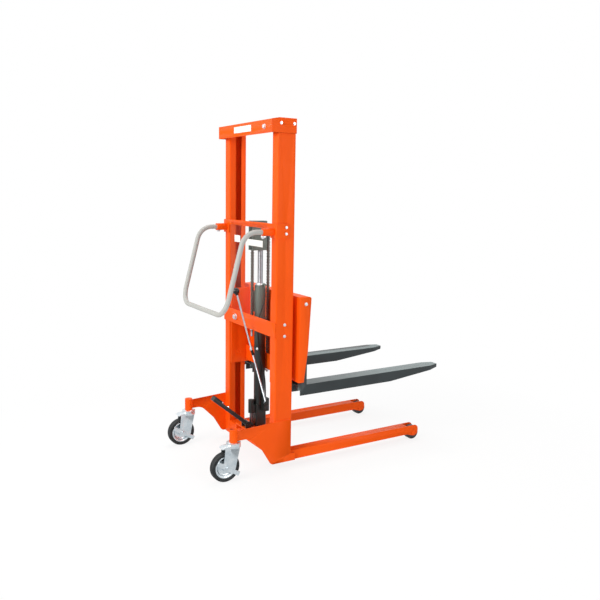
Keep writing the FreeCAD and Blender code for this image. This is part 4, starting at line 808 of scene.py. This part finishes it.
class STACKER_OT_build_welds(bpy.types.Operator):
    """Runs welded seams along the joints of the frame and of the carriage"""
    bl_idname = "stacker.build_welds"
    bl_label = "Run the welds"

    def execute(self, context):
        frame_runs = []
        carriage_runs = []
        bar_low, bar_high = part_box("mid_crossbar")
        beam_low, beam_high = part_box("carriage_beam")
        plate_low, plate_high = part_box("carriage_side_plates")
        bar_ends = (246, 290)
        tube_sides = ((-212.6, PLATE_SIDE), (-210.6, POST_SIDE))
        tube_ends = (204, 246)
        side_plate_edge = ((6, 262), (95.7, 262), (95.7, 78))
        web_front = beam_low.x + 5 * MM
        web_ends = (beam_low.z + 6 * MM, beam_high.z - 9 * MM)
        plate_ends = (plate_low.z, plate_high.z - 4 * MM)
        for side, sign in SIDES.items():
            leg_low, leg_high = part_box("leg_" + side)
            foot = low("mast_post_" + side).z + 4 * MM
            corners = [(leg_low.y, foot), (leg_low.y, leg_high.z),
                       (leg_high.y, leg_high.z), (leg_high.y, foot)]
            frame_runs.append([Vector((leg_low.x, y, z)) for y, z in corners])
            for z in (bar_low.z, bar_high.z):
                frame_runs.append([Vector((POST_REAR, sign * y * MM, z)) for y in bar_ends])
            for x, y in tube_sides:
                frame_runs.append([at(x, sign * y, z) for z in tube_ends])
            frame_runs.append([at(x, sign * POST_SIDE, z) for x, z in side_plate_edge])
            end_inner = sign * (beam_high.y - 6 * MM)
            carriage_runs.append([Vector((web_front, end_inner, z)) for z in web_ends])
            plate_inner = sign * (plate_high.y - 8 * MM)
            carriage_runs.append([Vector((plate_high.x, plate_inner, z)) for z in plate_ends])
        welded("frame_welds", "frame", frame_runs)
        welded("carriage_welds", "carriage", carriage_runs)
        return {"FINISHED"}


class STACKER_OT_build_ram(bpy.types.Operator):
    """Turns the gland's cap and elbow, the cylinder's band and the fittings of the release rod"""
    bl_idname = "stacker.build_ram"
    bl_label = "Turn the ram's fittings"

    def execute(self, context):
        ram = middle("piston_rod")
        self.gland(Vector((ram.x, ram.y, high("cylinder_tube").z)))
        band_r = 31.0
        band = mirrored([(30.1, -7), (band_r, -7), (31.6, -6), (31.6, -2.6), (band_r, -2)])
        waist = Vector((ram.x, ram.y, 585 * MM))
        new_piece("cylinder_band", turned("cylinder_band", band, waist, Z_AXIS), "frame", "ram_paint")
        facing = Vector((-0.8, -0.6, 0))
        seat = waist + facing * band_r * MM
        seated("band_screw", "frame", "zinc", hexagon_head(), [(seat, facing, 0.6)])
        self.release()
        return {"FINISHED"}

    def gland(self, seat):
        """A stepped cap round the rod, and the elbow that the drain hose leaves from."""
        cap = [(14.2, 0), (25.2, 0), (26, 0.8), (26, 4.6), (25.2, 5.4), (23, 5.8), (22.4, 10.2),
               (21, 11.8), (17.6, 12), (16.4, 10.8), (14.2, 10.6)]
        fitting = [(0, 20), (5, 20), (5, 30), (7, 30.6), (7, 36.4), (5, 37), (5, 48.6), (4, 49.5), (0, 49.5)]
        ferrule = [(0, 0), (5.4, 0), (5.4, 4), (4.5, 5), (4.5, 13.8), (0, 13.8)]
        bm = bmesh.new()
        lathe(bm, fitting, at(74, 0, 939), -Y_AXIS, 24)
        lathe(bm, ferrule, at(74, -42, 939), -Z_AXIS, 24)
        new_piece("gland_elbow", mended(bm, "gland_elbow"), "frame", "ram_paint")
        piece = new_piece("gland_cap", turned("gland_cap", cap, seat, Z_AXIS), "frame", "zinc")
        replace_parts(piece, "cylinder_gland")

    def release(self):
        """The collar, sleeve and end cap on the release rod, and its ball knob with a neck."""
        y = middle("release_rod").y / MM
        foot = at(72.8, y, 290)
        head = at(-110, y, 919)
        along = (head - foot).normalized()
        reach = (head - foot).length
        body = BODY_OF["release_rod"]
        collar = mirrored([(5.1, -7), (8.2, -7), (9, -6)])
        sleeve = [(5.1, -36), (6.6, -36), (7.4, -34), (7.4, -9), (6.6, -7.2), (5.1, -7.2)]
        collar_share = 0.498
        place = foot + along * (reach * collar_share)
        new_piece("release_collar", turned("release_collar", collar, place, along, 32), body, "zinc")
        new_piece("release_sleeve", turned("release_sleeve", sleeve, place, along, 32), body, "rubber")
        cap = [(0, 0), (13, 0), (14, 1), (14, 5.4), (12.6, 7), (5, 7.6), (0, 7.6)]
        eye = Vector((foot.x, low("release_rod").y, foot.z))
        new_piece("release_cap", turned("release_cap", cap, eye, -Y_AXIS, 40), body, "ram_paint")
        neck = [(5.1, -22), (8.4, -22), (9, -21), (8.2, -16.4)]
        bore = [(0, 4), (5.1, 4)]
        ball = []
        ball_r = 18
        ball_steps = 12
        for step in range(ball_steps + 1):
            angle = math.radians(-62 + 152 * step / ball_steps)
            ball.append((ball_r * math.cos(angle), ball_r * math.sin(angle)))
        knob = turned("release_ball", neck + ball + bore, head, along, 48)
        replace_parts(new_piece("release_ball", knob, body, "knob_plastic"), "release_knob")


class STACKER_OT_build_pedal(bpy.types.Operator):
    """Moulds the pedal's ribbed tread and sets the two screws on it"""
    bl_idname = "stacker.build_pedal"
    bl_label = "Mould the pedal's tread"

    def execute(self, context):
        slope = math.radians(40)
        lie = Matrix.Translation(middle("pedal_pin")) @ Matrix.Rotation(slope, 4, "Y")
        upward = lie.to_3x3() @ Z_AXIS
        arm_top = 10
        rib_foot = 14.2
        start = -259
        end = -214
        bm = bmesh.new()
        block(bm, Vector((-262, -21, arm_top)) * MM, Vector((end, 21, 14.5)) * MM, 1.6 * MM)
        bm.transform(lie)
        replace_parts(new_piece("pedal_tread", mesh_from(bm, "pedal_tread"), "pedal", "rubber"), "pedal_pad")
        bm = bmesh.new()
        block(bm, Vector((-2.7, -19, 0)) * MM, Vector((2.7, 19, 2.8)) * MM, 1.2 * MM)
        gap = sizes().rib_gap
        count = int((end - start) * MM / gap)
        seats = []
        for step in range(count):
            seat = Vector((start * MM + gap * (step + 0.5), 0, rib_foot * MM))
            seats.append((lie @ seat, upward, 1.0))
        seated("pedal_ribs", "pedal", "rubber", stand(bm, "pedal_rib"), seats)
        screws = [(lie @ Vector((x * MM, 0, arm_top * MM)), upward, 0.8) for x in (-152, -200)]
        seated("pedal_screws", "pedal", "zinc", hexagon_head(), screws)
        return {"FINISHED"}


class STACKER_OT_build_plates(bpy.types.Operator):
    """Sets bare plates on the top bar and on the guard panel"""
    bl_idname = "stacker.build_plates"
    bl_label = "Set the bare plates"

    def execute(self, context):
        bar = low("mast_top_bar").x
        panel = low("guard_panel").x
        thickness = 0.6 * MM
        edge = 0.25 * MM
        plates = {"top_bar_plate": (bar, (-83, 112), (1732, 1764)),
                  "panel_plate_left": (panel, (86, 156), (1159, 1196)),
                  "panel_plate_right": (panel, (-169, 10), (1151, 1184))}
        for name, (face, across, rise) in plates.items():
            bm = bmesh.new()
            corner = Vector((face - thickness, across[0] * MM, rise[0] * MM))
            block(bm, corner, Vector((face, across[1] * MM, rise[1] * MM)), edge)
            new_piece(name, mesh_from(bm, name), "frame", "handle_paint", "bare_plate")
        return {"FINISHED"}


class STACKER_OT_build_hose(bpy.types.Operator):
    """Lays the drain hose from the gland to the valve"""
    bl_idname = "stacker.build_hose"
    bl_label = "Lay the drain hose"

    def execute(self, context):
        route = [(74, -42, 925), (74, -42, 905), (76, -44, 875), (60, -46, 823), (36, -46, 762),
                 (30, -46, 690), (36, -46, 610), (54, -46, 530), (72, -46, 455), (82, -45, 380),
                 (82, -45, 312)]
        points = [at(*place) for place in route]
        curve = bpy.data.curves.new("drain_hose_tube", "CURVE")
        curve.dimensions = "3D"
        curve.bevel_depth = 3.5 * MM
        curve.bevel_resolution = 4
        curve.resolution_u = 12
        curve.use_fill_caps = True
        spline = curve.splines.new("NURBS")
        spline.points.add(len(points) - 1)
        for control, place in zip(spline.points, points):
            control.co = (*place, 1)
        spline.order_u = 3
        spline.use_endpoint_u = True
        hose = bpy.data.objects.new("drain_hose_tube", curve)
        context.scene.collection.objects.link(hose)
        curve.materials.append(FINISHES["rubber"])
        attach(hose, "frame")
        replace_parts(hose, "drain_hose")
        return {"FINISHED"}


class STACKER_OT_set_stage(bpy.types.Operator):
    """Sets the floor, the soft studio light and the camera"""
    bl_idname = "stacker.set_stage"
    bl_label = "Set the stage"

    def execute(self, context):
        scene = context.scene
        scene.view_settings.view_transform = "Standard"
        self.floor(scene)
        self.surroundings(scene)
        middle_of_part = (CAD_BOX[0] + CAD_BOX[1]) / 2
        lamps = {"key_lamp": ((-3.6, -0.6, 2.6), 2.4, 110, "#FFFDF8"),
                 "side_lamp": ((0.6, -3.6, 2.0), 2.2, 36, "#FFFFFF"),
                 "top_lamp": ((0.4, 0.8, 3.8), 2.6, 70, "#FFFFFF")}
        for name, (place, width, power, colour) in lamps.items():
            lamp = bpy.data.lights.new(name, "AREA")
            lamp.color = linear(colour)[:3]
            lamp.shape = "DISK"
            lamp.size = width
            lamp.energy = power
            holder = bpy.data.objects.new(name, lamp)
            scene.collection.objects.link(holder)
            holder.location = place
            holder.rotation_euler = (middle_of_part - Vector(place)).to_track_quat("-Z", "Y").to_euler()
        self.camera(scene)
        return {"FINISHED"}

    def camera(self, scene):
        """The photograph's viewpoint: yaw, pitch and roll of the optical axis, and its focal length."""
        yaw = math.radians(31.53)
        pitch = math.radians(8.91)
        roll = math.radians(1.03)
        ahead = Vector((math.sin(yaw) * math.cos(pitch), math.cos(yaw) * math.cos(pitch), -math.sin(pitch)))
        right = Vector((math.cos(yaw), -math.sin(yaw), 0))
        upward = right.cross(ahead)
        across = right * math.cos(roll) + upward * math.sin(roll)
        above = upward * math.cos(roll) - right * math.sin(roll)
        lens = bpy.data.cameras.new("view_camera")
        lens.sensor_width = 36.0
        lens.lens = 41.06
        holder = bpy.data.objects.new("view_camera", lens)
        scene.collection.objects.link(holder)
        turn = Matrix((across, above, -ahead)).transposed().to_4x4()
        holder.matrix_world = Matrix.Translation(at(-1665.9, -3240.5, 1429.75)) @ turn
        scene.camera = holder

    def floor(self, scene):
        """A pale floor that reads white to the camera but keeps the shadow."""
        bm = bmesh.new()
        bmesh.ops.create_grid(bm, x_segments=1, y_segments=1, size=12.0)
        floor = bpy.data.objects.new("floor", mesh_from(bm, "floor"))
        scene.collection.objects.link(floor)
        material, tree = new_tree("pale_floor")
        shade = add(tree, "ShaderNodeBsdfDiffuse", 0, {"Color": linear("#F2F2F2")})
        glow = add(tree, "ShaderNodeEmission", 0, {"Color": linear("#FFFFFF"), "Strength": 1.0})
        path = tree.nodes.new("ShaderNodeLightPath")
        dim = add(tree, "ShaderNodeEmission", 0, {"Color": linear("#DADDDF")})
        shade = add(tree, "ShaderNodeMixShader", 0, {0: path.outputs["Is Glossy Ray"], 1: shade, 2: dim})
        away = add(tree, "ShaderNodeVectorMath", "Value", {0: add(tree, "ShaderNodeTexCoord", "Object")},
                   operation="LENGTH")
        white = add(tree, "ShaderNodeMapRange", 0, {0: away, 1: 0.7, 2: 2.0, 3: 0.84, 4: 1.0})
        seen = path.outputs["Is Camera Ray"]
        share = add(tree, "ShaderNodeMath", 0, {0: seen, 1: white}, operation="MULTIPLY")
        mix = add(tree, "ShaderNodeMixShader", 0, {0: share, 1: shade, 2: glow})
        add(tree, "ShaderNodeOutputMaterial", 0, {"Surface": mix})
        floor.data.materials.append(material)

    def surroundings(self, scene):
        """White to the camera and in reflections, and a plain soft light on the part."""
        world = bpy.data.worlds.new("studio")
        scene.world = world
        world.use_nodes = True
        tree = world.node_tree
        tree.nodes.clear()
        path = tree.nodes.new("ShaderNodeLightPath")
        seen = path.outputs["Is Camera Ray"]
        for ray in ("Is Glossy Ray", "Is Transmission Ray"):
            seen = add(tree, "ShaderNodeMath", 0, {0: seen, 1: path.outputs[ray]}, operation="MAXIMUM")
        strength = add(tree, "ShaderNodeMapRange", 0, {0: seen, 3: 0.42, 4: 1.0})
        light = add(tree, "ShaderNodeBackground", 0, {"Color": linear("#FFFFFF"), "Strength": strength})
        add(tree, "ShaderNodeOutputWorld", 0, {"Surface": light})


class STACKER_PT_panel(bpy.types.Panel):
    """Lists the stacker's colours, sizes and steps"""
    bl_idname = "STACKER_PT_panel"
    bl_label = "Hand pallet stacker"
    bl_space_type = "VIEW_3D"
    bl_region_type = "UI"
    bl_category = "Stacker"

    def draw(self, context):
        for group in (context.scene.stacker_colours, context.scene.stacker_sizes):
            for name in group.__annotations__:
                self.layout.prop(group, name)
        for step in STEPS:
            self.layout.operator(step.bl_idname)


STEPS = (STACKER_OT_finish_nodes, STACKER_OT_soften_metal, STACKER_OT_build_chain, STACKER_OT_build_wheels,
         STACKER_OT_build_bolts, STACKER_OT_build_welds, STACKER_OT_build_ram, STACKER_OT_build_pedal,
         STACKER_OT_build_plates, STACKER_OT_build_hose, STACKER_OT_set_stage)
CLASSES = (StackerColours, StackerSizes, *STEPS, STACKER_PT_panel)


def register():
    for item in CLASSES:
        bpy.utils.register_class(item)
    bpy.types.Scene.stacker_colours = bpy.props.PointerProperty(type=StackerColours)
    bpy.types.Scene.stacker_sizes = bpy.props.PointerProperty(type=StackerSizes)


def unregister():
    del bpy.types.Scene.stacker_sizes
    del bpy.types.Scene.stacker_colours
    for item in reversed(CLASSES):
        bpy.utils.unregister_class(item)


def main():
    register()
    bpy.ops.stacker.finish_nodes()
    bpy.ops.stacker.soften_metal()
    bpy.ops.stacker.build_chain()
    bpy.ops.stacker.build_wheels()
    bpy.ops.stacker.build_bolts()
    bpy.ops.stacker.build_welds()
    bpy.ops.stacker.build_ram()
    bpy.ops.stacker.build_pedal()
    bpy.ops.stacker.build_plates()
    bpy.ops.stacker.build_hose()
    bpy.ops.stacker.set_stage()


if __name__ == "__main__":
    main()
